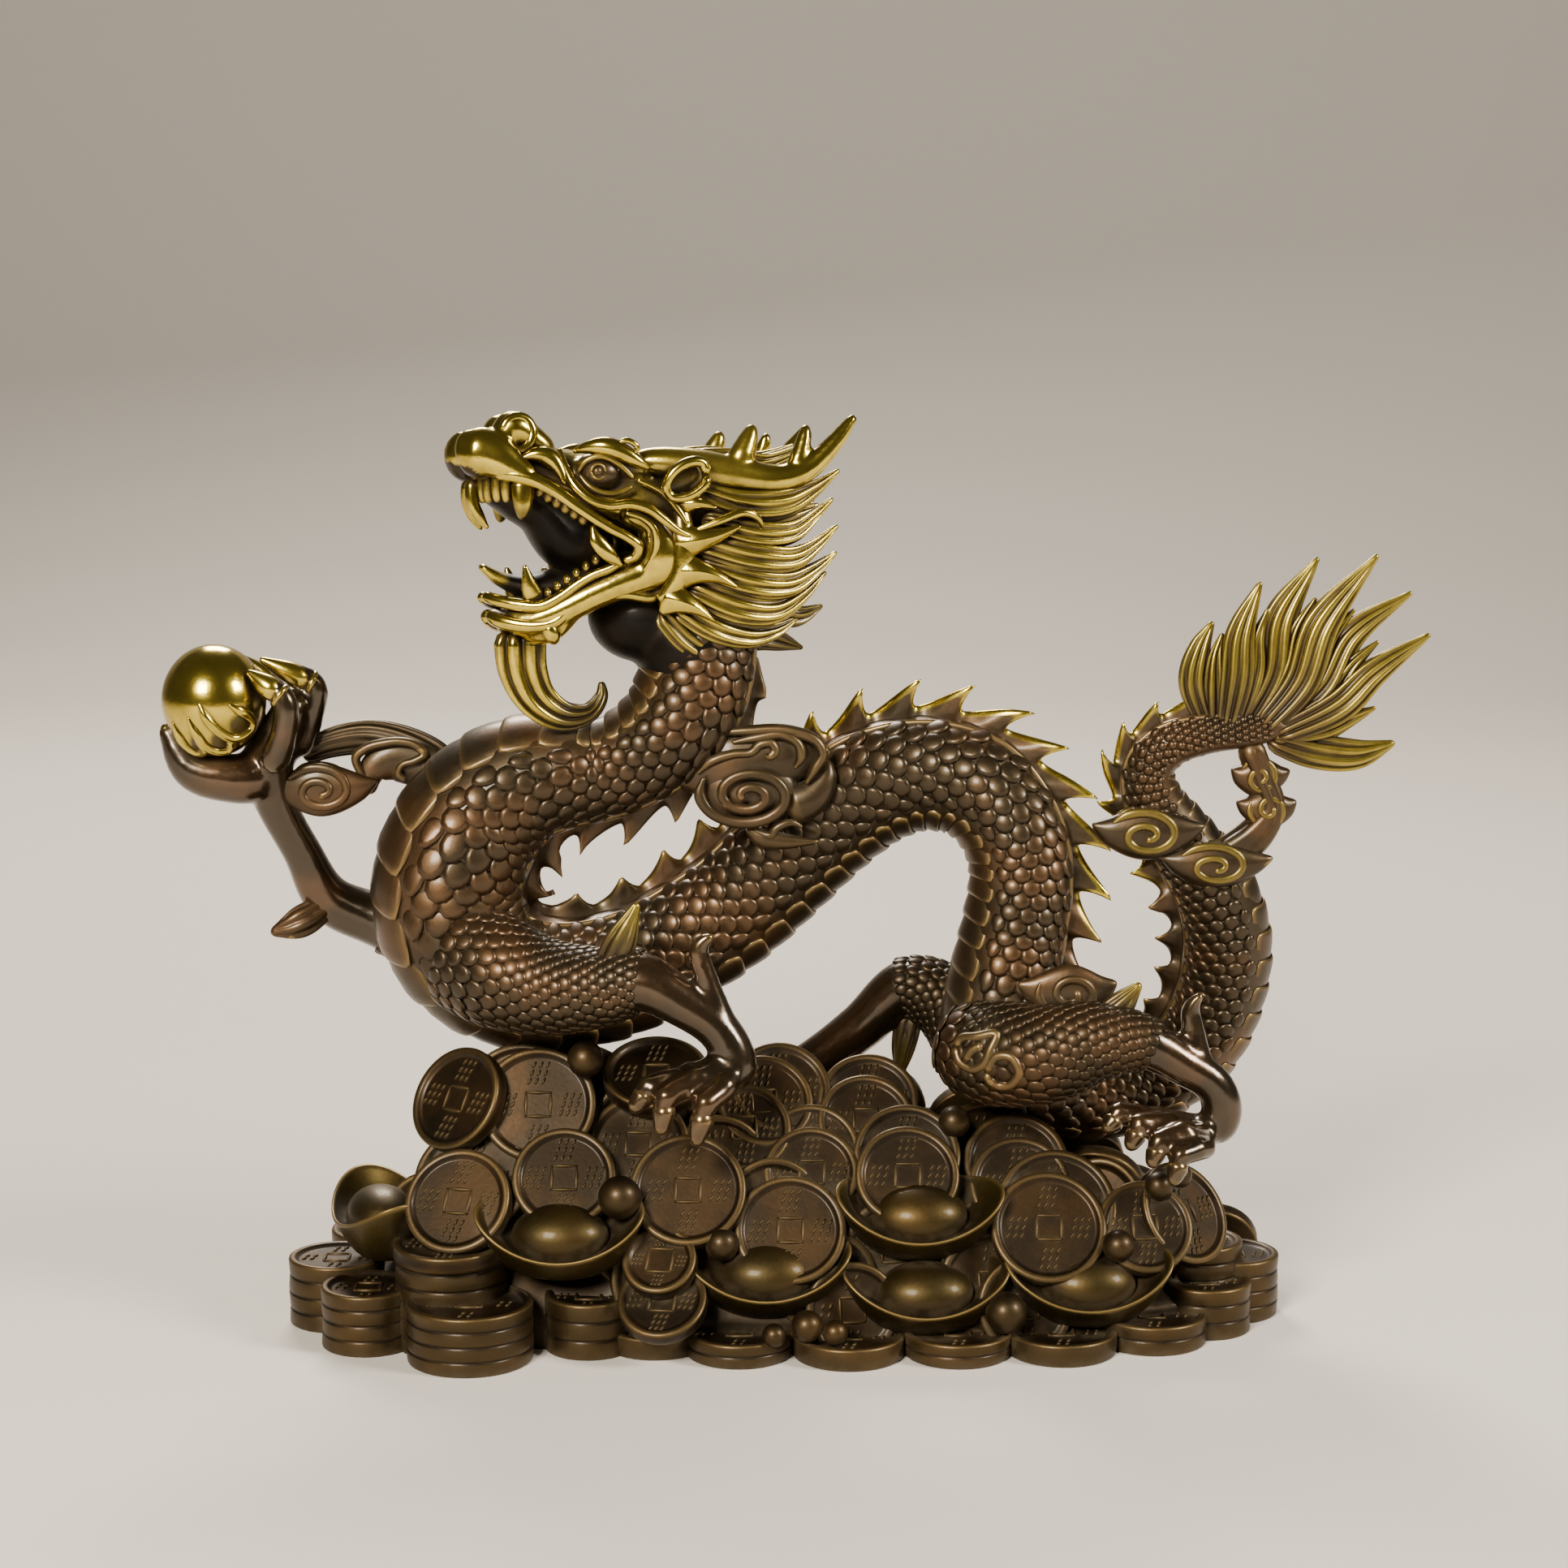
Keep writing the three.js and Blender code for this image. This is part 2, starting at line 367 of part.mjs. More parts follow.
function finRun(from, to, tall) {
  const teeth = Math.round((bodyLength * (to - from)) / FIN_PITCH);
  const halves = teeth * 2;
  return solidOf(moved(new THREE.BoxGeometry(1, 1, 1, halves, 1, 1), (p) => {
    const half = Math.round((p.x + 0.5) * halves);
    const tip = half % 2 === 1;
    const s = bodyLine(from + ((to - from) * (half + (tip ? FIN_LEAN : 0))) / halves);
    const size = Math.min(1, s.height / FIN_FULL_BODY);
    const rise = p.y < 0 ? -FIN_ROOT : tip ? FIN_HEIGHT * tall * size : FIN_WEB;
    const thick = p.y > 0 && tip ? FIN_THICKNESS * FIN_TIP_SHARE : FIN_THICKNESS;
    const { z } = p;
    p.copy(s.centre).addScaledVector(s.up, s.height + rise).addScaledVector(s.side, z * thick);
  }));
}

function body() {
  return [bar(BODY, ...BODY_FACETS), ...FIN_RUNS.map((run) => finRun(...run))];
}

function limbs() {
  const legs = [RAISED_ARM, ...LEGS].map((rows) => bar(rows, 6, rows.length + 1));
  const claws = [...HEEL_SPURS, ...TOES, ...FINGERS].map((rows) => bar(rows, 4));
  const tufts = TUFTS.map((rows) => bar(rows, 4));
  return [...legs, ...claws, ...tufts, ball(...PEARL, PEARL_RADIUS, PEARL_RADIUS, PEARL_RADIUS, 12, 8)];
}

// A cloud scroll: an oval disc facing the front and back with a spiral ridge on its near face
function scroll([x, y, z, halfWidth, halfHeight, half, turn]) {
  const disc = new THREE.CylinderGeometry(1, 1, half * 2, 9).scale(halfWidth, 1, halfHeight).translate(x, y, z);
  const ridge = [];
  for (let i = 0; i <= SPIRAL.steps; i++) {
    const angle = turn * i + Math.PI / 2;
    const r = SPIRAL.rim - SPIRAL.fall * i;
    const [right, up] = [Math.cos(angle) * r * halfWidth, Math.sin(angle) * r * halfHeight];
    ridge.push([x + right, y - half, z + up, halfHeight * SPIRAL.thick, SPIRAL.rise]);
  }
  return [solidOf(disc), bar(ridge, 3)];
}

function clouds() {
  return [
    ...SCROLLS.flatMap(scroll), ...[...RIBBONS, ...CLOUD_PLATES].map((rows) => bar(rows, 5)),
  ];
}

function tailFlame() {
  return FLAME.map((rows) => bar(rows, 4, 3));
}

function head() {
  const eyes = [1, -1].map((side) => {
    const [u, v, w] = EYES.place;
    const [x, y, z] = inHead([u, side < 0 ? v - FAR_SIDE_DROP * w : v, w * side]);
    return ball(x, y, z, EYES.radius);
  });
  return [
    headBar(SKULL, 8, 6), headBar(TONGUE), headBar(BEARD, 6, 6),
    ...Object.values(HEAD_PAIRS).flatMap((rows) => bothSides(rows)),
    ...Object.values(HEAD_NEAR).map((rows) => headBar(rows, 4)),
    ...MANE_PAIRS.flatMap((rows) => bothSides(rows, 4)),
    ...[...MANE_NEAR, ...MANE_MIDDLE].map((rows) => headBar(rows, 4)),
    ...FRILL_PAIRS.flatMap((rows) => bothSides(rows, 4)),
    ...eyes, ball(...THROAT), ball(...MANE_ROOT, ...MANE_ROOT_FACETS),
  ];
}

// The height of the heap's crest along its length
function crest(x) {
  const left = THREE.MathUtils.smoothstep(x, ...CREST_RISE);
  const right = 1 - CREST_FALL_SHARE * THREE.MathUtils.smoothstep(x, ...CREST_FALL);
  return SKIRT_HEIGHT + (HEAP_CREST - SKIRT_HEIGHT) * left * right;
}

function heapCore() {
  const outline = (angle, scale) => {
    const [c, s] = [Math.cos(angle), Math.sin(angle)];
    return [
      Math.sign(c) * Math.abs(c) ** SQUARENESS * (HEAP_LENGTH / 2) * scale,
      HEAP_MIDDLE + Math.sign(s) * Math.abs(s) ** SQUARENESS * (HEAP_DEPTH / 2) * scale,
    ];
  };
  const mound = moved(new THREE.CylinderGeometry(1, 1, 1, 14, 2), (p) => {
    const rise = p.y + 0.5;
    const slope = Math.max(0, rise - MOUND_FOOT) / (1 - MOUND_FOOT);
    const scale = Math.hypot(p.x, p.z) * (1 - MOUND_TAPER * slope);
    const [x, y] = outline(Math.atan2(-p.z, p.x), scale);
    p.set(x, y, rise <= 0 ? 0 : THREE.MathUtils.lerp(SKIRT_HEIGHT * SKIRT_TOP, crest(x), slope));
  });
  const skirt = moved(new THREE.CylinderGeometry(1, 1, 1, 18, 1), (p) => {
    const angle = Math.atan2(-p.z, p.x);
    const { out, swing, count } = SKIRT_WAVE;
    const [x, y] = outline(angle, Math.hypot(p.x, p.z) * (out + swing * Math.cos(angle * count)));
    p.set(x, y, (p.y + 0.5) * SKIRT_HEIGHT * SKIRT_TOP);
  });
  return [solidOf(mound), solidOf(skirt)];
}

// A round coin about the Z axis, its face up at z 0, with a raised rim
function coin(radius, sides = 10) {
  const profile = [
    [0, -COIN_THICKNESS], [radius, -COIN_THICKNESS], [radius, 0], [radius - COIN_RIM, 0],
    [radius - COIN_RIM, -COIN_RECESS], [0, -COIN_RECESS],
  ].map(([r, h]) => new THREE.Vector2(r, h));
  return new THREE.LatheGeometry(profile, sides).rotateX(Math.PI / 2);
}

function leaning(geometry, [x, y, z, , turn, lean]) {
  geometry.rotateX(THREE.MathUtils.degToRad(90 - lean)).rotateZ(THREE.MathUtils.degToRad(turn));
  return solidOf(geometry.translate(x, y, z));
}

function plainCoin(radius) {
  return new THREE.CylinderGeometry(radius, radius, COIN_THICKNESS, 10)
    .rotateX(Math.PI / 2).translate(0, 0, -COIN_THICKNESS / 2);
}

function stack([x, y, top, radius]) {
  return solidOf(new THREE.CylinderGeometry(radius, radius, top, 9).rotateX(Math.PI / 2).translate(x, y, top / 2));
}

function ingot([x, y, z, turn, tilt]) {
  const put = (geometry) => {
    geometry.rotateX(THREE.MathUtils.degToRad(tilt)).rotateZ(THREE.MathUtils.degToRad(turn));
    return solidOf(geometry.translate(x, y, z));
  };
  const boat = moved(new THREE.CylinderGeometry(1, INGOT_FOOT_SHARE, 1, 9, 1), (p) => {
    const top = p.y > 0;
    const hollow = top && Math.hypot(p.x, p.z) < INGOT_FOOT_SHARE ? -INGOT_HOLLOW : 0;
    const horn = top ? INGOT_HORN_RISE * p.x * p.x : 0;
    p.set(p.x * INGOT_HALF_LENGTH, -p.z * INGOT_HALF_DEPTH, (p.y - 0.5) * INGOT_HEIGHT + horn + hollow);
  });
  const [right, front, up] = INGOT_DOME;
  const dome = moved(new THREE.SphereGeometry(1, 6, 3), (p) => {
    p.set(p.x * right, -p.z * front, p.y * up - INGOT_DOME_DROP);
  });
  return put(boat).add(put(dome));
}

function heap() {
  return [
    ...heapCore(), ...STACKS.map(stack), ...INGOTS.map(ingot),
    ...FACING_COINS.map((row) => leaning(coin(row[3]), row)),
    ...LEANING_COINS.map((row) => leaning(plainCoin(row[3]), row)),
    ...SMALL_PEARLS.map(([x, y, z, r]) => ball(x, y, z, r)),
  ];
}

// The heap is cast with a pocket for whatever of the dragon rests on it
function pockets() {
  const swollen = ([x, y, z, height, width = height]) => [x, y, z, height + CLEARANCE, width + CLEARANCE];
  const past = (a, b) => {
    const reach = new THREE.Vector3(a[0] - b[0], a[1] - b[1], a[2] - b[2]).setLength(CLEARANCE);
    return [a[0] + reach.x, a[1] + reach.y, a[2] + reach.z, ...a.slice(3)];
  };
  const pocket = (rows, ...rest) => {
    const inner = rows.slice(1, -1);
    return bar([past(rows[0], rows[1]), ...inner, past(rows.at(-1), rows.at(-2))].map(swollen), ...rest);
  };
  return joined([
    pocket(BODY, ...BODY_FACETS),
    ...LEGS.map((rows) => pocket(rows, 6, rows.length + 1)),
    ...[...HEEL_SPURS, ...TOES, ...TUFTS].map((rows) => pocket(rows, 4)),
  ]);
}

// Nothing hangs below the surface that the heap stands on
const underground = solidOf(new THREE.BoxGeometry(400, 200, 100).translate(0, 0, -50));

const brownBrass = new THREE.MeshStandardMaterial({ color: 0x4a3420, roughness: 0.42, metalness: 0.9 });
const dustyBrass = new THREE.MeshStandardMaterial({ color: 0x453523, roughness: 0.5, metalness: 0.85 });

const dragon = new THREE.Mesh(
  geometryOf(mainBody(joined([...body(), ...limbs(), ...clouds(), ...tailFlame(), ...head()]))),
  brownBrass,
);
dragon.name = "dragon";

const coinHeap = new THREE.Mesh(
  geometryOf(mainBody(joined(heap()).subtract(pockets()).subtract(underground))),
  dustyBrass,
);
coinHeap.name = "coin_heap";

const figure = new THREE.Group();
figure.add(dragon, coinHeap);

export default figure;
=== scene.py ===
# A cast brass dragon that holds up a pearl and stands on a heap of coins, ingots and pearls.
# The head, pearl, fin edges and tail flame are gilt. The rest has a brown patina, with dust in its hollows.
# The dragon faces -X and its near side faces -Y. Rows of numbers are millimetres, in the frame of the model.
import math
from types import SimpleNamespace

import bmesh
import bpy
import numpy as np
from bpy.props import FloatProperty, FloatVectorProperty, IntProperty, PointerProperty
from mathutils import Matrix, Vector


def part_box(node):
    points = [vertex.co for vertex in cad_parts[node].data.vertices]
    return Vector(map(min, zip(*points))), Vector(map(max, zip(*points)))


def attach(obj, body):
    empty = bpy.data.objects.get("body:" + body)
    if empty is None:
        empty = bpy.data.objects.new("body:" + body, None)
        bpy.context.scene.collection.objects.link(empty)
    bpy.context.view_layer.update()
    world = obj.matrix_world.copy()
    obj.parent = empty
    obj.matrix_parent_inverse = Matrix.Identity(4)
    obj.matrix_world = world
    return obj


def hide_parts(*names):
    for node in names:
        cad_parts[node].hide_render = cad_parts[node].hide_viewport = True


bl_info = {
    "name": "Brass dragon on a coin heap",
    "version": (1, 0, 0),
    "blender": (4, 5, 0),
    "location": "3D View > Sidebar > Dragon",
    "description": "Builds the skin, scales, head, clouds and heap of a cast brass dragon",
    "category": "Add Mesh",
}

MM = 0.001

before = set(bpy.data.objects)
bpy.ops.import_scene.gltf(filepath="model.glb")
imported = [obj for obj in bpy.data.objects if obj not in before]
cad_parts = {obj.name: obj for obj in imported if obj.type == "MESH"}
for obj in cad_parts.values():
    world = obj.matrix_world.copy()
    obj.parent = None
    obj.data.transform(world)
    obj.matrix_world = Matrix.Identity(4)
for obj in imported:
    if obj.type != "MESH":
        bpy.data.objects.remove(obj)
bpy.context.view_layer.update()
# The rearmost y of the heap's solid
HEAP_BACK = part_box("coin_heap")[1][1] / MM

NEAR_SIDE = (0, -1, 0)
# How much of the gilding the antique wash takes out of the grooves of the mane, beard and flame
WASH = 0.85

# The body from the nape to the root of the tail flame: x, y, z and half thickness
BODY = [
    [-16.4, -4, 149.8, 9.5], [-18.1, -4, 141.9, 11], [-19.8, -4, 133.6, 11.4], [-23.1, -4, 126.1, 11],
    [-30.3, -3, 119.3, 10.2], [-38.7, -2, 115.2, 9.9], [-46.5, -2, 114.5, 11.1], [-54.4, -1, 112.8, 12.8],
    [-62.2, 0, 107.6, 14.1], [-67.7, 0, 100, 15], [-70.3, 1, 91.2, 15.4], [-69.3, 2, 82.1, 15.3],
    [-64.1, 3, 74.7, 14.7], [-54.6, 4, 70.5, 14], [-43.7, 5, 70.3, 13.4], [-31.9, 6, 73.7, 12.7],
    [-21.3, 7, 79.7, 12.4], [-12.2, 8, 86.1, 12.2], [-2.7, 8, 95.1, 12.2], [6.8, 7, 104.5, 12.3],
    [16.5, 5, 111.6, 12.1], [27.1, 3, 114.4, 11.5], [37.1, 1, 112.2, 11.1], [43.7, 0, 105.4, 10.5],
    [46.7, 0, 97.8, 10.3], [47.1, 0, 90.8, 10.3], [45.8, 0, 81.6, 10.5], [44.1, 0, 72.2, 10.9],
    [43.2, 2, 61.1, 11.5], [49, 8, 49.9, 11.3], [60.8, 13, 44.5, 10.2], [74, 15, 46.1, 9.7],
    [84.4, 13, 54.5, 9.6], [89.3, 11, 65.3, 9.4], [90.5, 9, 77.4, 9.2], [87.6, 7, 88.5, 8.4],
    [80.5, 6, 99.3, 7.2], [74.2, 4, 108.2, 6.1], [73.1, 3, 115.1, 5.4], [77.1, 2, 119.8, 4.8],
    [84.4, 1, 122.1, 4.1], [93.4, 0, 123.1, 3.4], [101.7, 0, 124.3, 2.4],
]
# The double ridge along the back: its angle from the middle of the back, and its half thickness
RIDGE_ANGLE = math.radians(23)
RIDGE_HALF = 0.75
# Angles from the middle of the back to the first and the last column of scales
FIRST_SCALE = math.radians(31)
LAST_SCALE = math.radians(127)
# How far the belly plates reach to each side of the belly's middle
BELLY_REACH = math.radians(54)
# The fin: how deep it is rooted, the height of the web between teeth, and where a tooth peaks in its pitch
FIN_ROOT = 2.5
WEB_HEIGHT = 1.8
TOOTH_PEAK = 0.62
# Its two runs: the spacing of the teeth, then rows of share of the body, height and gilding of the edge
FINS = [
    [1, [[0.02, 2, 0], [0.06, 5.5, 0], [0.14, 7.6, 0], [0.2, 7, 0], [0.28, 5, 0], [0.36, 6, 0.1],
         [0.44, 7, 0.3], [0.46, 8, 1], [0.55, 8.8, 1], [0.575, 8.8, 1], [0.59, 8, 0], [0.64, 5, 0],
         [0.66, 1, 0]]],
    [0.78, [[0.72, 1, 0], [0.76, 4.6, 0], [0.84, 6.4, 0], [0.87, 6, 0], [0.885, 6, 1], [0.92, 5.6, 1],
            [0.95, 4.6, 1], [0.975, 1, 0.6]]],
]

# Limbs: x, y, z and half thickness
RAISED_ARM = [
    [-70, 12, 74, 7], [-87, 13, 80.8, 5.8], [-97.5, 11, 86, 5.1], [-102.5, 8, 96.5, 4.1],
    [-107.5, 5, 108, 4.4], [-108.5, 4, 116, 5.5], [-104.5, 4, 124, 4.6], [-102, 4, 131, 3.4],
]
NEAR_FORELEG = [
    [-67, -7, 78, 11.5], [-60, -11, 75, 11], [-50, -14, 72.5, 9.4], [-40, -17, 73, 7.8],
    [-30.5, -19, 74.5, 6.1], [-22.5, -20.5, 70.5, 4.8], [-15, -21, 65, 4.4], [-11.8, -21.5, 58.5, 4.5],
    [-12.5, -21.5, 53, 4.4],
]
NEAR_HINDLEG = [
    [29.4, -6, 60.5, 1.5], [30.6, -6.4, 60.2, 4.6], [33.4, -7.4, 59.5, 7.8], [38.5, -9, 58.3, 10.2],
    [49.5, -14, 58.5, 9.8], [61, -16, 61.5, 7.8], [70.5, -17, 61.5, 5.4], [79, -17, 57, 4.3],
    [85, -17, 53, 4], [87, -16.5, 47, 4.2], [84, -16, 41, 4.2],
]
FAR_HINDLEG = [
    [42, 12, 52, 10], [33, 18, 62, 7.8], [24.5, 20, 65, 6.2], [14.5, 22, 56, 5.2], [4, 24, 47.5, 4.9],
    [-6, 26, 41, 5],
]
# Scales on the limbs, before they grow smaller towards the paws
LEG_SCALE_WIDTH = 3.9
LEG_SCALE_PITCH = 2.6
HEEL_SPURS = [
    [[-14, -21, 64.5, 3.5], [-17.3, -21, 75, 2.4], [-19, -21, 82, 2.1], [-16, -22, 85, 0.8]],
    [[83, -16, 53, 3.2], [81, -16, 63.5, 2.4], [80.4, -16, 68.5, 1.9], [82.5, -17, 72, 0.8]],
]
# Toes and fingers: root, knuckle, last joint and claw tip
TOES = [
    [[-12, -21, 59, 2.8], [-20.8, -24, 56.3, 2.5], [-29, -26, 54.3, 2.4], [-32.5, -28, 50, 0.9]],
    [[-12, -22, 59, 2.9], [-19.3, -26, 56, 2.6], [-25.4, -29, 53, 2.4], [-26.6, -31, 46, 0.9]],
    [[-11.5, -22, 58, 2.9], [-14, -27, 54.5, 2.7], [-17.6, -30.5, 52, 2.5], [-19.6, -32, 44, 0.9]],
    [[85.5, -14, 43, 2.6], [74.5, -14, 45, 2.3], [66.3, -15, 46, 2.3], [63, -17, 43, 0.9]],
    [[85.5, -16, 42, 2.6], [76, -18, 45, 2.3], [70, -20, 45, 2.3], [67.5, -22, 40.5, 0.9]],
    [[85.5, -18, 41.5, 2.6], [78.6, -22, 44, 2.3], [73.5, -24, 42.5, 2.2], [71.5, -26, 38, 0.9]],
    [[84.5, -20, 41, 2.6], [81, -24, 41, 2.2], [77.6, -26, 40.3, 2.2], [75.7, -28, 34.8, 0.9]],
    [[-4, 26, 42, 3], [-10, 29, 42, 2.6], [-16, 31, 41, 2.4], [-19, 32, 36, 0.9]],
    [[-4, 27, 42, 3], [-8, 32, 41, 2.6], [-12, 35, 39, 2.4], [-14, 37, 33, 0.9]],
]
FINGERS = [
    [[-107, -3, 115, 3.4], [-103.4, -5.5, 124, 2.8], [-103.4, -6, 130.5, 2.5], [-110.8, -5.5, 136, 0.8]],
    [[-103, 5, 117, 3.2], [-99.6, 5.5, 126, 2.8], [-98.8, 5, 132, 2.5], [-109.5, 2.5, 137.6, 0.8]],
    [[-107, 9, 115, 3], [-106, 12, 124, 2.6], [-108.5, 12, 131, 2.3], [-115.5, 7, 138.2, 0.8]],
    [[-107, 3, 113, 5.4], [-115.5, 1, 113, 5.2], [-123.5, 0, 115.3, 4.4], [-129, -1, 124.5, 1.4]],
]
# The fingers' gilding fades in between these distances from the pearl's centre, and between these heights
FINGER_GILT_REACH = (16.8, 14.4)
FINGER_GILT_HEIGHT = (128, 131)
PEARL = (-118.6, 0, 129.3)
PEARL_HALF = (10.6, 10.6, 11.5)
# Dark spots on the pearl where it has hollows, painted as wash and as painted shade, since the ball has no
# hollows: right, up, half width and half height, as shares of its half sizes
PEARL_HOLLOWS = [(-0.22, -0.72, 0.14, 0.2), (0.24, -0.66, 0.2, 0.2), (0.62, -0.36, 0.2, 0.2)]
# Flame ridges on the pearl: right and up, as the same shares, seen from either side
PEARL_FLAMES = [
    [(-0.68, -0.3), (-0.56, -0.58), (-0.42, -0.8), (-0.26, -0.88), (-0.1, -0.82), (-0.16, -0.6),
     (-0.34, -0.19)],
    [(-0.34, -0.19), (-0.19, -0.52), (-0.03, -0.76), (0.14, -0.84), (0.34, -0.82), (0.42, -0.66),
     (0.24, -0.46)],
    [(-0.11, 0.07), (0.03, -0.21), (0.24, -0.46), (0.46, -0.6), (0.64, -0.56), (0.78, -0.45), (0.82, -0.32),
     (0.76, -0.2), (0.62, -0.09), (0.44, 0.03)],
]

# Leaf tufts: x, y, z, half width in the side view and half depth, the raised arm's first
TUFTS = [
    [[-97, 9, 85.5, 2.6, 2], [-103.3, 6, 81.7, 3.4, 2.4], [-109, 5, 79.8, 0.8, 0.8]],
    [[-38, -19, 75, 3.2, 2], [-34.8, -20, 83, 3.4, 2], [-31.3, -20, 91, 0.7, 0.7]],
    [[62, -15, 64, 3.8, 2], [66.3, -15, 69, 3, 2], [70.2, -15, 73.5, 0.7, 0.7]],
    [[25, 20, 60, 3.2, 2.2], [23.6, 20, 51.5, 2.6, 2], [22.8, 20, 45.5, 0.8, 0.8]],
]

# Cloud scrolls: centre, half width, half height, half thickness and the turn of the spiral
SCROLLS = [
    [-97.5, 3, 110.4, 8, 5.8, 3, -1], [72.1, -2, 102, 8.4, 5.6, 3.6, -1], [86.4, -1, 95.3, 8.4, 5, 3.6, -1],
    [95.6, 1, 113.4, 4.4, 4.4, 3.2, -1], [97.6, 1, 106.8, 4.5, 4.5, 3.2, 1],
    [56.2, -11, 70.7, 7.4, 6, 3, 1], [-3, 18, 112, 11, 7, 4, -1],
]
# A scroll's leaf: along, up, half height and half depth, as shares of the scroll's half sizes
SCROLL_LEAF = [(-1.45, 0.3, 0.08, 0.2), (-0.95, 0.1, 0.55, 0.55), (0, 0, 0.98, 0.75), (0.8, 0.1, 0.62, 0.6),
               (1.3, 0.35, 0.08, 0.25)]
# Ridges of the scrolls by the flame, past this x, catch a little gilding
GILT_FROM = 60
# The cloud that ties the flame to the tail
LINK = [[88, 1, 96, 4, 3], [95, 1, 101, 4, 3], [98.5, 1, 107, 3, 3], [96, 1, 114, 3, 3],
        [93, 0, 121, 3, 2.6]]
# Leaves of cloud between the wrist and the chest, each with its count of grooves
LEAVES = [
    [6, [[-102, 7, 117, 2.4, 1.6], [-96, 8.6, 119.4, 3.2, 2], [-89, 9.6, 120.4, 3.8, 2.2],
         [-82, 9.6, 119, 4.2, 2.4], [-75, 9, 115.6, 4.4, 2.6], [-70, 8, 112, 3, 2.6]]],
    [0, [[-87.8, 5.4, 109, 1, 1.2], [-87.4, 6, 113.4, 3, 1.8], [-84, 6.6, 115.8, 4.2, 2.2],
         [-79, 7, 115.4, 4.8, 2.4], [-73, 7, 112.6, 4.4, 2.6]]],
]
# The raised edge of the lower leaf, which curls in at the chest
LEAF_EDGE = [
    [-87.4, 4.6, 109.9, 0.6], [-89.6, 4.4, 114, 0.9], [-90.4, 4.4, 116.9, 1], [-88.1, 4.4, 118.9, 1],
    [-84.5, 4.4, 119.9, 1], [-81.3, 4.4, 120.2, 0.95], [-78.2, 4.4, 119.5, 0.95], [-76.2, 4.2, 117.6, 0.9],
    [-78.3, 4, 116.2, 0.9], [-80.7, 4, 115.4, 0.85], [-81.6, 4, 113.8, 0.8], [-80.2, 4, 112.2, 0.5],
]
# The large scroll on the shoulder of the arch, with the smooth plate that it is raised on,
# and what is drawn on the plate: right and up from the scroll's centre
MAIN_SCROLL = (-9.2, -9.5, 111.6)
MAIN_SCROLL_HALF = (10.4, 5, 7)
MAIN_CUSHION_HALF = (10.4, 3.4, 6.9)
MAIN_PLATE = [
    [-25.4, -6.5, 113.4, 0.8, 1], [-20, -7, 115.2, 5, 2.6], [-13, -7.5, 116, 8, 3.4],
    [-6.5, -7.5, 117.6, 6.9, 3.4], [-1, -7.2, 118.6, 5.2, 3.2], [4, -6.4, 118.8, 3.6, 2.6],
    [7.8, -5.6, 119.4, 0.8, 1],
]
MAIN_LOBE = [[-2, -8, 108, 4, 3], [3.4, -7.6, 110.4, 3.8, 3], [6.4, -7, 114.4, 2.4, 2.2],
             [6.8, -6.4, 118, 0.9, 1]]
MAIN_SCROLL_LINES = [
    [(-10.4, 4), (-7.4, 6.6), (-3, 8), (0.6, 8.4), (2.4, 10), (4.6, 10.2), (5.4, 8.6), (4.2, 7.6), (3, 8)],
    [(-3.4, 10.4), (1.6, 11.4), (6.6, 12), (10, 10.2), (10.6, 7.4), (9.2, 5)],
    [(-7, 12.4), (0, 12.8), (7.6, 13), (13.4, 11), (15, 8.2), (13.4, 5), (11.6, 2)],
    [(6.6, 12.4), (11.4, 11.8), (16.2, 8.6)],
]
# The hooked leaf under the large scroll
MAIN_HOOKS = [
    [[-9.4, -9.2, 104.6, 0.8, 1], [-6.6, -9.2, 102.4, 2, 1.6], [-2, -9, 101.6, 1.7, 1.6],
     [5, -8.6, 101.5, 0.4, 0.6]],
    [[-8.6, -9.6, 104.2, 0.7], [-4.8, -10.2, 103, 0.9], [-3.4, -10.4, 104.6, 0.9], [-0.6, -10.2, 105.6, 0.8],
     [1.8, -9.8, 104.6, 0.35]],
]
# Raised lines on the near thigh: a leaf, its vein and a ring, as x and z
THIGH_LINES = [
    [(32.7, 60.5), (34.2, 62.4), (37, 63.2), (40.8, 63.9), (39.6, 61), (38.4, 58), (36.1, 56.6),
     (33.6, 57.8), (32.7, 60.5)],
    [(34.6, 58.2), (36, 60.6), (38.4, 61.8)],
    [(38.9, 56.6), (40.6, 59.6), (43.6, 59.8), (45.2, 57.2), (44, 54.2), (41.4, 53.6), (39.4, 54.8),
     (38.9, 56.6)],
]

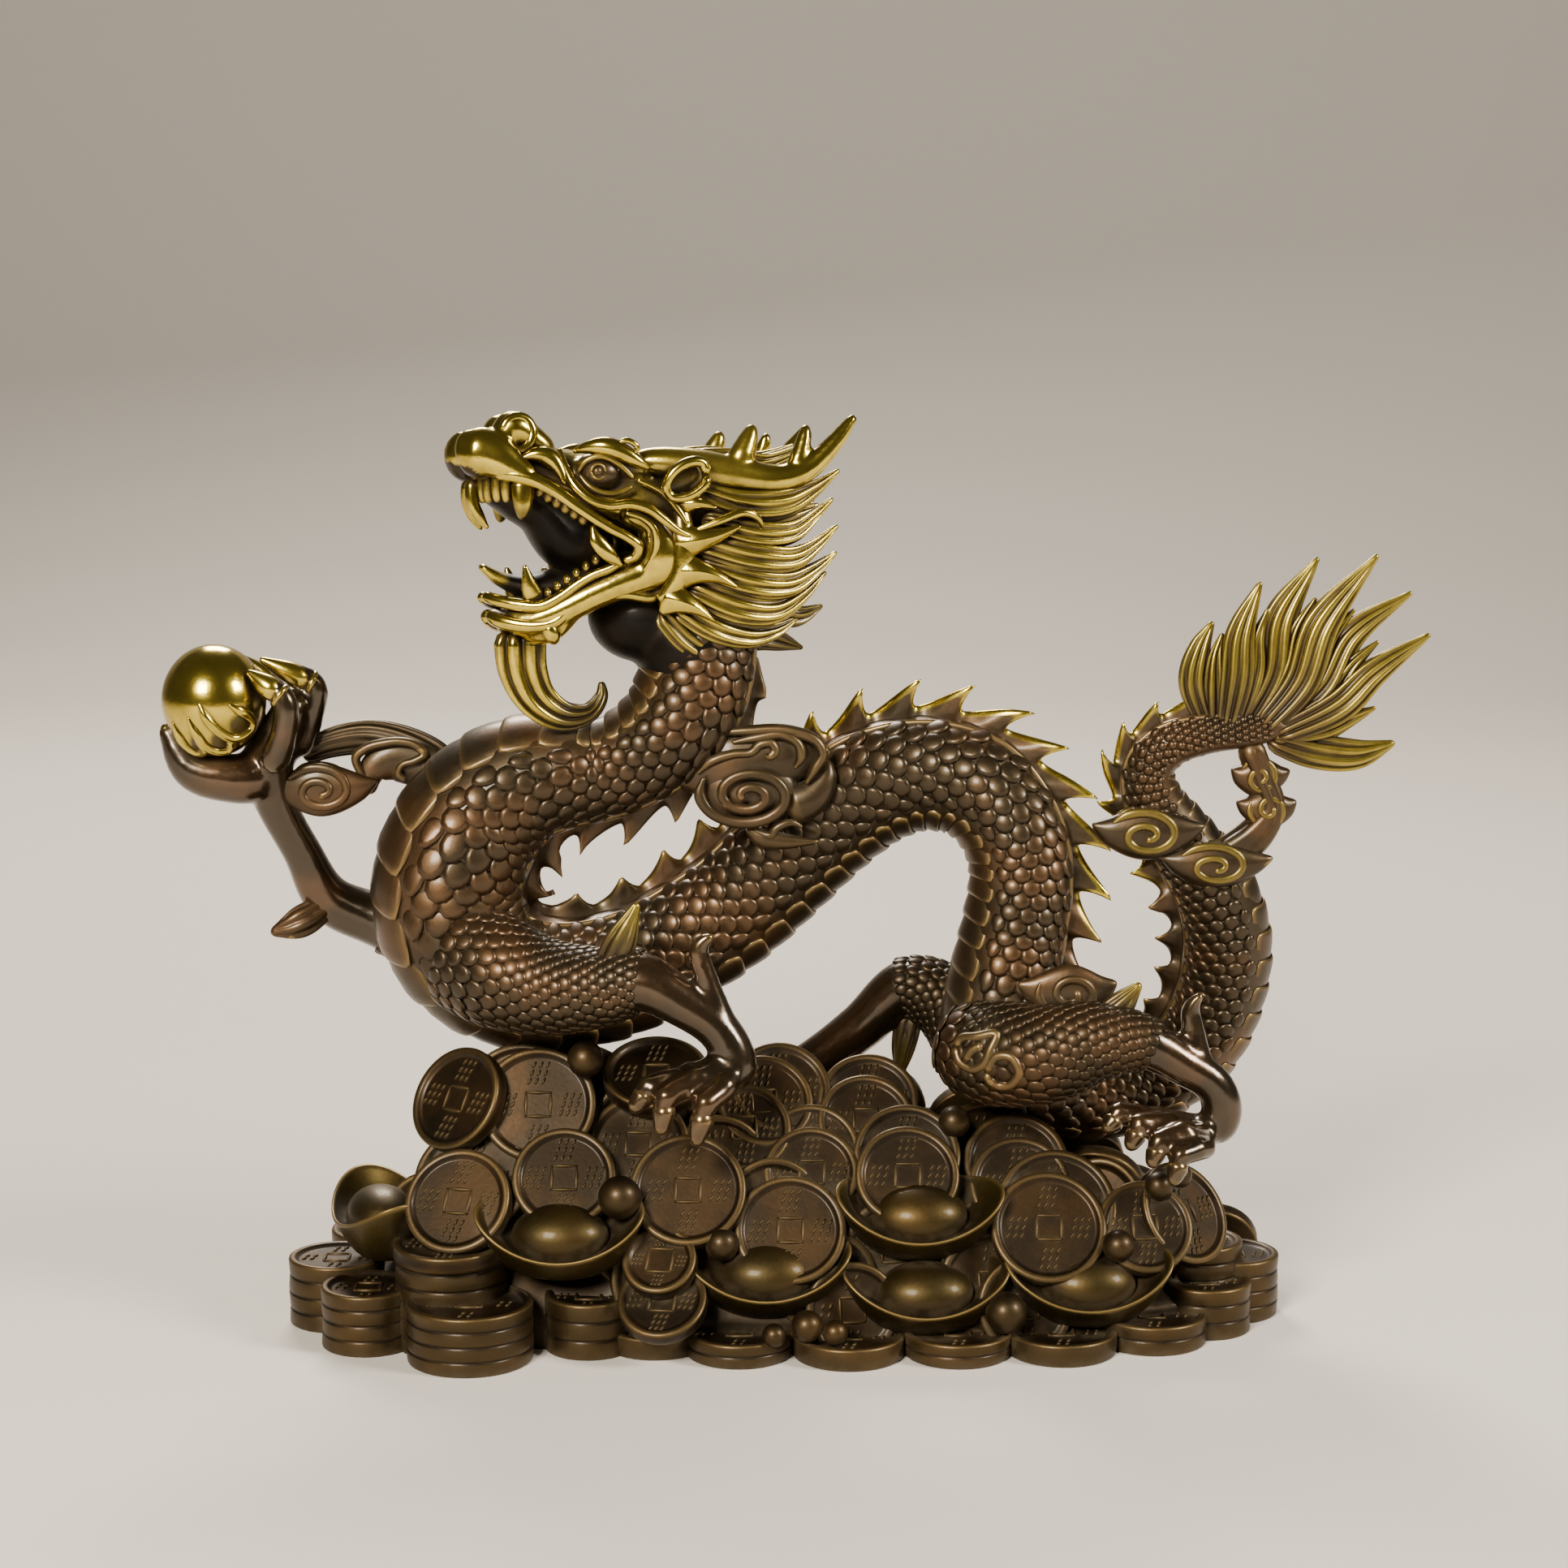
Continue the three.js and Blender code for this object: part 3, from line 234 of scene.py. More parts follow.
# Tail flame: root, belly and tip of each tongue, with half width and half depth
FLAME = [
    [[84.6, 1, 124, 2.2, 2], [81.8, 1, 133, 3.2, 2.4], [82.9, 1, 139.8, 2.4, 1.9],
     [85.5, 1, 145.4, 0.5, 0.5]],
    [[88.6, -1, 123.6, 2.4, 2.4], [90.3, -1, 134, 3.6, 2.8], [90.9, -1, 143, 3.1, 2.2],
     [94.8, -1, 153.7, 0.5, 0.5]],
    [[92.4, 1, 123.6, 2.6, 2.6], [98, 1, 134.5, 3.9, 3], [99.4, 1, 146, 3.7, 2.4],
     [106.7, 1, 158.5, 0.5, 0.5]],
    [[95.6, -1, 123.4, 2.6, 2.8], [103.4, -1, 133, 3.8, 3.2], [107.4, -1, 145, 3.8, 2.6],
     [118.5, -1, 159.2, 0.5, 0.5]],
    [[97.6, 1, 122.8, 2.6, 2.8], [108.1, 1, 131.8, 3.6, 3.2], [113.6, 1, 142.4, 3.2, 2.4],
     [126, 1, 151.4, 0.5, 0.5]],
    [[98.6, -1, 122, 2.4, 2.6], [111.1, -1, 128.1, 3.6, 3], [118.4, -1, 135.2, 3, 2.2],
     [129.6, -1, 143, 0.5, 0.5]],
    [[97, 0, 121.6, 2.6, 2.4], [106.5, 0, 118.9, 3.8, 2.6], [115.6, 0, 118.2, 3.2, 2.2],
     [123.2, 0, 120.6, 0.6, 0.6]],
]
# Half widths of the shorter tongues between them, from root to tip
BETWEEN_HALVES = (2.2, 2.6, 2.5, 1.7, 0.4)

# The head's own frame: forward along the snout, up, and out towards the near side
HEAD_YAW = math.radians(18)
HEAD_CENTRE = np.array([-29.2, -4, 164.9])
FORWARD = np.array([-math.cos(HEAD_YAW), -math.sin(HEAD_YAW), 0])
NEAR = np.array([math.sin(HEAD_YAW), -math.cos(HEAD_YAW), 0])
# How much lower the far side lies for each millimetre out, because the head is tilted towards the viewer
FAR_SIDE_DROP = 0.2

# Rows below are forward, up, out, half height and half width
SKULL = [
    [-14, -1, 0, 9.6, 10], [-2, 4.6, 0, 9.4, 12.5], [8.4, 7.2, 0, 7.6, 10.5], [18.5, 10.2, 0, 6, 8],
    [27, 13, 0, 4.8, 7], [33.5, 14.6, 0, 4.4, 6.4], [38, 14.8, 0, 3.4, 5],
]
# Soft masses on both sides of the head: the snout, nostril, cheek, jaw, brow and chin
HEAD_MASSES = [
    [[38.6, 15, 1.5, 5.6, 5], [36.4, 15.6, 4.6, 5.6, 4.8], [33, 15, 7, 4.6, 3.4], [29.6, 12.8, 8.8, 3, 2.4],
     [25.6, 10.4, 10.4, 1.8, 1.8]],
    [[31.4, 17.4, 4, 2.4], [29.2, 20.4, 4.6, 3.5], [25.6, 18.4, 4.6, 3], [21, 14.6, 4.4, 2.6]],
    [[9, 3.4, 12, 2, 3], [3, 1.5, 12.4, 3.2, 3.6], [1.4, -5.5, 12.5, 4.8, 4.2], [4, -11, 11, 3.4, 3.4]],
    [[31, -17.2, 2, 3], [25, -17.4, 6, 3.2], [12.3, -11.4, 10, 3.4], [-2, -6, 11, 5.2]],
    [[17, 12.6, 7, 2.4], [9, 13, 8, 3], [1, 12, 8, 3]],
    [[27, -19.5, 2.4, 3.2, 4], [22, -20, 5.5, 2.2, 3], [17.5, -15, 9, 2]],
]
# The roof and back of the mouth, on the middle plane, coloured nearly black as painted shade
MOUTH_ROOF = [
    [35.6, 9.6, 0, 2, 4.4], [32, 8, 0, 3, 5.4], [28, 6.4, 0, 4.2, 6], [23, 3.4, 0, 4.6, 6.8],
    [17.6, -2, 0, 6, 7.6], [8, -5, 0, 8, 8.6],
]
ROLLED_LIP = [
    [33.4, 11.4, 8, 0.9], [31, 11.6, 9, 1.5], [27.9, 11.1, 10.2, 1.6], [24.6, 9.7, 11.3, 1.4],
    [21.8, 8, 12.5, 1.25], [18.6, 5.5, 13.7, 1.2], [15.1, 3, 14.7, 1.1], [11.8, 0.9, 15.4, 1.05],
    [8.7, -0.8, 15.9, 1], [6.6, -2.6, 15.9, 1], [7.3, -4.6, 15.3, 0.9], [9.4, -5.4, 14.7, 0.6],
]
NOSTRIL_RING = [
    [31.7, 19.8, 6.6, 0.9], [30.5, 21.8, 6.6, 1], [28.7, 22.6, 6.4, 1.1], [26.6, 22, 6.4, 1.1],
    [25.5, 19.8, 6.8, 1.1], [26.2, 17.5, 7.2, 1], [27.8, 16.3, 7.6, 0.9], [30.2, 16.8, 7.6, 0.8],
    [31.6, 18.6, 7, 0.8],
]
HEAD_STROKES = {
    "nose_leaf": [[28.4, 14.6, 8.2, 0.5, 1], [25.2, 15.4, 8.8, 1.5, 1.6], [22.6, 14.6, 9.4, 1.9, 1.7],
                  [20.8, 12, 10.4, 1.2, 1.2], [20.2, 9.4, 11.4, 0.5, 0.6]],
    "whisker": [[20.6, 16.4, 8, 0.6], [19.8, 12.7, 10.4, 0.85], [18.5, 9.4, 12.2, 1.05],
                [15.7, 6.6, 13.8, 1.1], [12.1, 5.5, 14.8, 1.05], [8, 5.8, 15.8, 1.1], [4.6, 4.8, 16.6, 1.1],
                [1.4, 2.4, 17.2, 0.95], [-1.2, 0.4, 17.6, 0.7], [-3.6, -0.6, 17.8, 0.4]],
    "cheek_line": [[9, 4, 14.9, 0.5], [5.6, 3, 15.6, 0.75], [3.4, 0.9, 16, 0.85], [3, -2.6, 15.9, 0.8],
                   [4.2, -6, 15, 0.7], [5.6, -8.6, 13.8, 0.5]],
    "brow": [[17.8, 15.8, 8.4, 0.4], [15.2, 16.6, 9.8, 1.3], [12, 16.8, 11, 2], [8.6, 15.6, 12, 1.9],
             [5.8, 13.9, 12.8, 1.3], [3.2, 12.4, 13, 0.4]],
    "brow_curl": [[9.6, 17.6, 12.2, 0.5], [7.8, 18, 12.6, 0.6], [6, 16.9, 12.8, 0.6],
                  [6.2, 15.4, 12.8, 0.5]],
    "upper_lid": [[17.3, 11.8, 10.2, 0.4], [15.8, 14, 10.8, 0.6], [12.6, 14.9, 11.6, 0.7],
                  [9.2, 13.2, 12.2, 0.6], [6.6, 10.6, 12.6, 0.4]],
    "lower_lid": [[17.1, 11.4, 10.6, 0.4], [15.5, 9.2, 11.9, 0.6], [13.1, 7.9, 12.7, 0.65],
                  [10.3, 7.7, 13.1, 0.6], [7, 9, 13, 0.4]],
    "lower_lip": [[34.4, -12.8, 1, 1.2], [32.7, -13.4, 4, 1.25], [28.8, -14.2, 7, 1.3],
                  [24.7, -14.4, 9, 1.25], [21.2, -12.6, 10.2, 1.1], [17.7, -10, 11.2, 1],
                  [14.8, -8.2, 12.2, 0.95], [11.8, -7, 13.2, 0.9], [9.4, -5.6, 14, 0.7]],
    "chin_roll": [[33.6, -16.4, 1, 1.5], [31.4, -17.6, 4.2, 1.7], [26, -18.4, 7.6, 1.6],
                  [22, -17.6, 9.2, 1.4], [19, -14.8, 10.2, 1.1], [15.2, -11.8, 11.6, 0.8]],
    "chin_drop": [[23.6, -17.4, 8.4, 1.6], [22.4, -20.2, 8.6, 1.7], [21.6, -22.2, 8.2, 0.8]],
    "flap": [[15.5, 1.6, 14, 0.4, 0.5], [14.6, -1.4, 14.8, 1.5, 0.9], [12.3, -4.1, 15, 1.5, 0.9],
             [9.5, -6.4, 14.2, 0.4, 0.5]],
    "jaw_line": [[19, -15.6, 9.6, 0.8], [14, -12.9, 11.2, 1.1], [8.3, -12.2, 12.2, 1.2],
                 [2.8, -12.8, 12.4, 1.2], [-0.6, -10.4, 12.8, 0.8]],
    "temple_line": [[6, 10.4, 12.8, 0.5], [1.4, 8, 14.2, 0.8], [-1.6, 4.4, 15.6, 0.8],
                    [-3.4, 1.4, 16.4, 0.5]],
}
EAR_RING = [
    [-7.4, 11.4, 16.4, 1], [-6.4, 13.6, 16.2, 1.1], [-3.5, 13.7, 16.4, 1.1], [-0.4, 11.7, 16.2, 1],
    [0.8, 8.9, 15.8, 0.95], [-0.4, 7, 15.8, 0.95], [-3.4, 7.1, 16.6, 1], [-6.5, 9.2, 17, 1],
    [-7.4, 11, 16.6, 1],
]
EAR_CUP = [[0.4, 8.4, 13.2, 2, 0.8], [-3.4, 10.3, 13.6, 2.8, 0.8], [-6.8, 12, 13.8, 1.8, 0.8]]
NOSTRIL_HOLE = [[30.6, 19.4, 5.6, 1.6, 1], [28.6, 19.6, 6, 2.6, 1], [26.8, 19.4, 6, 1.8, 1]]
EYE = [12.3, 11.5, 9.4]
EYE_HALF = (4.2, 3.2, 3.4)
# The iris looks a little forward and up from the eye's centre
IRIS_SHIFT = (1.4, 0.5)
IRIS_RADIUS = 1.45
# Spots of the side view where the gilding is thin: forward, up, half length and half height
EYE_SOCKET = (11.5, 11, 6.6, 4.2)
TEMPLE = (-1, 6, 7, 6)
HORNS = [
    [[6, 13, 7, 2], [2.1, 13.4, 8, 3], [-5.7, 12.6, 10, 3.7], [-13.5, 11, 11.6, 3.8], [-21.3, 9.9, 13, 3.2],
     [-26, 10.6, 14, 2.7], [-29.5, 12.4, 14.4, 2.4], [-34.6, 17.3, 14.6, 1.9], [-38.8, 22.6, 14.6, 0.9]],
    [[-14.6, 11.8, 12, 3.4], [-16.4, 15.6, 11.6, 2.6], [-17.8, 18.8, 11.2, 1.8], [-18.5, 21, 11, 0.9]],
    [[-26.4, 11.8, 14, 2.4], [-27.9, 16, 13.6, 1.8], [-28.7, 18.8, 13.2, 1.4], [-29.2, 20.8, 13, 0.8]],
]
# Leaf points of the frill behind the jaw
FRILL = [
    [[-2, 5.4, 14.6, 3, 1.5], [-5.4, 5.8, 16.4, 1.5, 1.3], [-9, 4.8, 17.6, 0.3, 0.4]],
    [[-0.6, -2.4, 14.6, 4.8, 1.7], [-4.6, -1.6, 16.6, 2.9, 1.7], [-9, -0.6, 17.8, 1.5, 1.2],
     [-13.6, 1.2, 18.8, 0.3, 0.4]],
    [[-0.6, -7.8, 14.6, 4.6, 1.7], [-4.8, -7.6, 16.6, 2.7, 1.7], [-8.8, -8.6, 17.8, 1.4, 1.1],
     [-13, -10.9, 18.4, 0.3, 0.4]],
    [[1.6, -12.4, 13.6, 4.4, 1.7], [-2.2, -13.6, 15.8, 2.5, 1.6], [-5.4, -15.2, 16.8, 1.3, 1],
     [-8.6, -17.6, 17.2, 0.3, 0.4]],
]
# The band that the leaf points grow from
COLLAR = [[-2.6, 5, 14.4, 1.6, 1.2], [-2.8, -1, 15.6, 2.2, 1.5], [-2.2, -8, 15.6, 2.2, 1.5],
          [1.6, -14, 14, 1.6, 1.2]]
# Locks of the mane, each with its gilding, from the top of the cheek down to the throat
MANE = [
    [1, [[-6, 7.8, 12.6, 2.2, 2], [-15.3, 5, 14.8, 3.2, 2.4], [-23.8, 5.2, 14.6, 3.2, 2.2],
         [-30.4, 8, 13.4, 1.9, 1.5], [-36.2, 11.6, 12.6, 0.4]]],
    [1, [[-7, 2.2, 13.6, 2.4, 2], [-17, -0.6, 16.4, 2.8, 2.3], [-25, -0.4, 15.8, 2.4, 2],
         [-30, 2.4, 14.2, 1.5, 1.3], [-34.6, 6, 13.2, 0.4]]],
    [1, [[-6, -2.6, 14, 2.6, 2], [-17, -5.2, 17.2, 3, 2.4], [-25, -5.6, 16.6, 2.6, 2],
         [-30.4, -3.2, 14.8, 1.6, 1.4], [-35.6, 0.6, 13.6, 0.4]]],
    [1, [[-6, -7.4, 14, 2.6, 2], [-16.4, -10.4, 17, 3, 2.4], [-24.4, -10.8, 16.2, 2.7, 2],
         [-30, -8.4, 14.6, 1.7, 1.4], [-35.4, -4.8, 13.2, 0.4]]],
    [1, [[-4, -11.4, 13.6, 2.8, 2], [-14, -15.2, 16.6, 3.2, 2.4], [-21.6, -15.9, 15.6, 2.8, 2.1],
         [-27.6, -13.2, 14.2, 1.8, 1.5], [-33.4, -8.8, 12.6, 0.4]]],
    [0.9, [[-2, -14.6, 12.6, 2.8, 1.9], [-9.6, -19.2, 15.2, 3, 2.3], [-17, -21, 14, 2.7, 2],
           [-22.6, -20.2, 13, 1.8, 1.5], [-28, -17.8, 11.4, 0.4]]],
    [0.55, [[1, -16, 11.4, 2.4, 1.8], [-4.4, -21.8, 12.8, 2.8, 2.1], [-11, -25.2, 11.4, 2.3, 1.8],
            [-17.6, -26.4, 9.4, 0.4]]],
    [0.2, [[-12, -12, 10.6, 3, 2.6], [-22, -15.9, 11.2, 3, 2.4], [-28, -17.8, 10.4, 2.3, 1.9],
           [-34, -16, 8.6, 0.4]]],
    [0.15, [[-8, -16, 9.4, 3.2, 2.6], [-17.6, -20.8, 10.4, 3, 2.4], [-24, -22.6, 9.6, 2.3, 1.9],
            [-30, -24.6, 8, 0.4]]],
    [0.9, [[-6, 12, 9.4, 2.6, 2.4], [-14, 10.6, 11, 2.8, 2.3], [-22, 10, 10.6, 2.3, 2],
           [-30, 12.8, 9.2, 0.4]]],
    [0.8, [[-8, 13.6, 3.4, 2.4, 2.6], [-16, 13.2, 4, 2.8, 2.6], [-24, 12.6, 4, 2.2, 2],
           [-32, 16.4, 3.4, 0.4]]],
]
# Broad locks down the back of the head, on the middle plane
MANE_MIDDLE = [
    [0.9, [[-2, 12.6, 0, 3.2, 7], [-12, 13.4, 0, 3.4, 8], [-22, 12.4, 0, 3, 7], [-31, 16, 0, 0.6, 1.4]]],
    [0.7, [[-10, 3, 0, 6, 9.6], [-22, 1.4, 0, 5.4, 8.6], [-30, 3, 0, 3, 5], [-35, 5, 0, 0.6, 1.4]]],
    [0.35, [[-10, -8, 0, 7, 9.6], [-22, -9.6, 0, 5.6, 8.4], [-29, -10, 0, 3.2, 5], [-34, -10, 0, 0.6, 1.4]]],
]
CROSSING_LOCK = [
    [-4.8, 0.4, 17, 0.5], [-9.9, 2.4, 18.2, 0.8], [-14.2, 3.8, 18.4, 0.85], [-17.3, 2.7, 18, 0.7],
    [-18.7, 0.3, 17, 0.35],
]
BEARD = [
    [27, -19, 0, 5.6, 3.6], [26.4, -28, 0, 5.2, 3.4], [23.5, -34, 0, 4.3, 3], [18, -37.6, 0, 3.2, 2.6],
    [12.8, -37, 0, 2.1, 2.1], [10.2, -33.8, 0, 1.4, 1.4], [10.2, -30.8, 0, 0.6, 0.6],
]
TONGUE = [
    [0, -8, 0, 4, 7], [12, -9.5, 0, 3.6, 6.5], [25, -11.3, 0, 2.6, 4.6], [31, -9.6, 0, 1.5, 2.8],
    [35, -6.8, 0, 0.7, 1.6],
]
# Round masses in the frame of the model: centre and half sizes
NAPE = [(-14, -1, 157), (11, 12, 14)]
THROAT = [[(-30.4, -4, 147), (11.4, 10, 9.4)], [(-20, -4, 141), (12.5, 12, 12)]]
# Incisors: forward, up and out of the root
INCISORS = [[34.8, 10.6, 2.8], [34, 10.8, 4.5], [32.6, 11, 6], [31, 11, 7.3]]
INCISOR_DROP = 5
FANGS = {
    "front": [[36.6, 10.4, 1.6, 1.5], [36.7, 6.1, 2.2, 1.3], [35.4, 3, 2.6, 1.1], [33.8, 0.6, 2.8, 0.4]],
    "upper": [[27.9, 11, 8.6, 2.5, 1.8], [28.1, 7.2, 9.2, 2.2, 1.6], [28.3, 4.7, 9.4, 1.6, 1.3],
              [28.6, 2.8, 9.4, 0.6]],
    "lower": [[25.4, -13.6, 7, 2.4, 1.6], [26.6, -10.4, 7.6, 1.7, 1.2], [27.7, -6.3, 8, 0.4]],
}
# Rows of molars: the first, the last, their gilding and half size
MOLARS = [([24.6, 8.4, 8.4], [16.4, 2.8, 10.6], 0.45, 1.45), ([23, -12, 8], [14.2, -5.4, 11.6], 0.8, 1.15)]
MOLAR_COUNT = 6

# The heap. Coins that lean on it: x, y, z of the face centre, radius, turn about Z and lean back
FACING_COINS = [
    [-52.2, -14, 48.2, 11.9, 0, 28], [-67.9, -25.5, 31.2, 11, -14, 34], [-46.4, -23.5, 35.5, 10.5, 0, 34],
    [-21.4, -23, 32.8, 11.8, 0, 34], [-0.7, -25, 25, 11.3, 0, 32], [51.6, -23, 25, 11.7, 0, 34],
    [71.4, -21, 24.5, 9.8, 6, 34], [23.1, -18.5, 34.6, 10.6, 0, 36], [3.6, -16, 34.6, 9.8, 0, 36],
    [46.3, -15.2, 31.8, 10.4, 0, 38],
]
LEANING_COINS = [
    [-69.5, -12, 49, 11, -38, 30], [-56.4, -9.5, 48.2, 12, -6, 30], [-65.5, -20, 34, 12, -10, 34],
    [-31.8, -15, 40.3, 10.5, 0, 38], [-28.5, -5, 53, 11, 0, 62], [-10.2, -10.5, 42.5, 9.8, 6, 38],
    [-6, -6, 47, 10.2, 8, 38], [-2.5, -3, 49, 10.5, 10, 40], [3.6, -12, 38, 10.2, 0, 36],
    [23.2, -13.5, 37.5, 11, 0, 36], [14.9, -8, 43.5, 10, 0, 38], [15.5, -3, 46.5, 10.5, 0, 40],
    [45.7, -11, 35.4, 10.8, 0, 38], [53.5, -18.5, 28, 12.3, 0, 36], [80.5, -14, 25.4, 11, 40, 32],
    [-27, -31, 20.7, 7.5, -8, 44], [-26.4, -34, 13.5, 9, -8, 50], [-69.6, -24, 22.6, 11.4, 0, 86],
    [-66, 17, 37, 11.5, 160, 36], [-22, 21, 36, 11.5, 180, 38], [22, 21, 32, 11.5, 180, 38],
    [-45, 12, 47, 11.5, 175, 34], [-4, 14, 43, 11, 180, 38], [60, 21, 28, 11, 190, 36],
]
# Stacks: x, y, top and radius
STACKS = [
    [-65, -30.9, 12.1, 12.8], [-86.5, -21.5, 12.6, 9.6], [-95, -6, 14, 10], [-41.5, -24, 11.5, 9],
    [-28, -22, 4.5, 11], [85, -11, 10.5, 9.5], [92, 0, 13, 9.8], [-69.5, -22, 21.2, 11.4],
    [84, -4, 17, 9.5], [-88, 18, 13, 11.5], [-64, 31, 12.4, 11.5], [-32, 32, 13, 11.5], [6, 32, 12.4, 11.5],
    [44, 31, 13, 11.5], [78, 22, 12.4, 11.5], [-11, -27.5, 5, 11], [11, -28.5, 4.6, 11.4],
    [33, -27.5, 5, 11], [54, -26, 4.6, 11.4], [73, -19, 6, 11.4],
]
# Ingots: x, y, z of the rim centre, turn about Z, tilt towards the front
INGOTS = [
    [-47, -27, 25.5, 0, 28], [-5.5, -25, 17, 0, 28], [25.5, -20, 27.5, 0, 28], [26.5, -25, 13, 0, 24],
    [59.5, -23.5, 14.5, 0, 28], [-85, -9, 24.5, -70, 10], [-8, 34.2, 22, 180, 28], [38, 33.8, 20, 180, 28],
]
SMALL_PEARLS = [
    [-35, -26.5, 32, 4.4], [-42.5, -12, 57, 3.8], [-14.5, -27, 22.5, 3.4], [65.5, -25, 21.5, 3.3],
    [42.5, -31, 9.5, 4.2], [33, -9.5, 43.2, 3.3], [2.6, -35, 8, 3.2], [8.2, -35.4, 6.8, 2.6],
    [-4, -36, 6.4, 2.4], [74.5, -16, 31.4, 3], [79, -13.5, 33, 2.6],
]
# The mound: length, depth, where its middle lies in y, and its heights at the left end and at its crest
HEAP_LENGTH = 196
HEAP_DEPTH = 69.6
HEAP_MIDDLE = 7
HEAP_END_HEIGHT = 11
HEAP_CREST = 47
# Its steep skirt: how high it is, and up to which level, when 0 is the foot of the mound and 1 its crest
SKIRT_HEIGHT = 6.6
SKIRT_LEVEL = 0.2
# The share of the mound's shell that lies over its foot
OVER_SHARE = 0.8
# Rings of coins laid up the mound like tiles: level, coins and radius
COIN_RINGS = [[0.21, 27, 9.6], [0.34, 24, 10.4], [0.48, 21, 10.8], [0.62, 17, 10.6], [0.76, 13, 10.4],
              [0.9, 9, 10.4]]
# How near to a larger coin, and across and up from an ingot, no coin of a ring is laid
COIN_CLEARANCE = 7.5
INGOT_CLEARANCE = (13, 6.5)
COIN_THICKNESS = 3.4
# An ingot: its half sizes, height and the rise of its ends. Its section is given from the middle of its
# hollow over the rim to its base, as shares of the half sizes and heights from the rim
INGOT_HALF_LENGTH = 17
INGOT_HALF_DEPTH = 10
INGOT_HEIGHT = 8
INGOT_HORN_RISE = 5
INGOT_SECTION = [
    (0, -3), (0.4, -3), (0.6, -2.7), (0.75, -1.9), (0.86, -0.9), (0.93, -0.1), (0.965, 0.3), (1, 0.3),
    (1.01, -0.1), (1, -0.6), (0.97, -1.4), (0.92, -2.8), (0.84, -4.8), (0.74, -6.8), (0.66, -7.7),
    (0.6, -8), (0, -8),
]
DOME_HALF = (9.8, 7, 6)
DOME_CENTRE = (0, -0.6, -1)

# The camera: its place in metres, how far it looks down, and its angle of view
CAMERA_PLACE = (-0.002, -0.63864, 0.20745)
CAMERA_DOWN = math.radians(8.5)
CAMERA_VIEW = math.radians(28)


def linear(code):
    """An sRGB hex colour as linear red, green, blue and alpha."""
    parts = [int(code[i:i + 2], 16) / 255 for i in (1, 3, 5)]
    return (*[c / 12.92 if c <= 0.04045 else ((c + 0.055) / 1.055) ** 2.4 for c in parts], 1)


def size_of(name, words, default):
    return FloatProperty(name=name, description=words, default=default, unit="LENGTH")


def colour_of(name, words, code):
    return FloatVectorProperty(name=name, description=words, default=linear(code), size=4, subtype="COLOR")


class DragonSizes(bpy.types.PropertyGroup):
    """Sizes of the relief that covers the dragon."""

    scale_pitch: size_of("Scale rows", "Distance from one row of body scales to the next", 0.0031)
    scale_columns: IntProperty(name="Scale columns", description="Columns of scales on each side", default=5)
    plate_pitch: size_of("Belly plates", "Distance from one belly plate to the next", 0.0059)
    fin_pitch: size_of("Fin pitch", "Distance from one tooth of the fin to the next", 0.0102)
    skin_voxel: size_of("Head grain", "Grain of the skin that runs the head together", 0.00062)
    limb_voxel: size_of("Limb grain", "Grain of the skin that runs the limbs together", 0.0008)
    horn_voxel: size_of("Horn grain", "Grain of the skin that runs the horns together", 0.0005)


class HeapSizes(bpy.types.PropertyGroup):
    """Sizes of the coins in the heap."""

    coin_rim: size_of("Coin rim", "Width of a coin's raised rim", 0.0015)
    coin_recess: size_of("Coin recess", "Depth of a coin's face below its rim", 0.0008)
    square: size_of("Square frame", "Width of the square frame in the middle of a coin", 0.0050)
    layer: size_of("Stack layer", "Thickness of one coin in a stack", 0.0033)


class Finishes(bpy.types.PropertyGroup):
    """Colours of the brass."""

    brown: colour_of("Brown patina", "Chemical patina on the body", "#3A2F1F")
    russet: colour_of("Russet patina", "Redder patches of the patina", "#513B25")
    gilt: colour_of("Gilding", "Polished gilt brass", "#CFB743")
    deep_gilt: colour_of("Deep gilding", "Gilding that is rubbed down", "#5C4B16")
    dust: colour_of("Dust", "Olive dust in the hollows", "#463B26")
    worn: colour_of("Worn edge", "Brass that shows through on edges", "#A98B55")


def sizes():
    return bpy.context.scene.dragon_sizes


def heap_sizes():
    return bpy.context.scene.heap_sizes


def unit(v):
    """Vectors brought to length 1."""
    return v / np.maximum(np.linalg.norm(v, axis=-1, keepdims=True), 1e-9)


def smoothstep(low, high, x):
    """0 before low and 1 past high, eased between them."""
    t = np.clip((np.asarray(x, float) - low) / (high - low), 0, 1)
    return t * t * (3 - 2 * t)


def powered(value, power):
    """A value with its size raised to a power and its sign kept: under 1 squares off a sine."""
    return np.sign(value) * np.abs(value) ** power


def walked(points):
    """How far along a polyline each of its points lies."""
    steps = np.linalg.norm(np.diff(points, axis=0), axis=1)
    return np.concatenate([[0], np.cumsum(steps)])


def from_spot(right, up, spot):
    """Distance from a spot's centre, as a share of its half width and half height."""
    x, y, wide, high = spot
    return np.hypot((right - x) / wide, (up - y) / high)


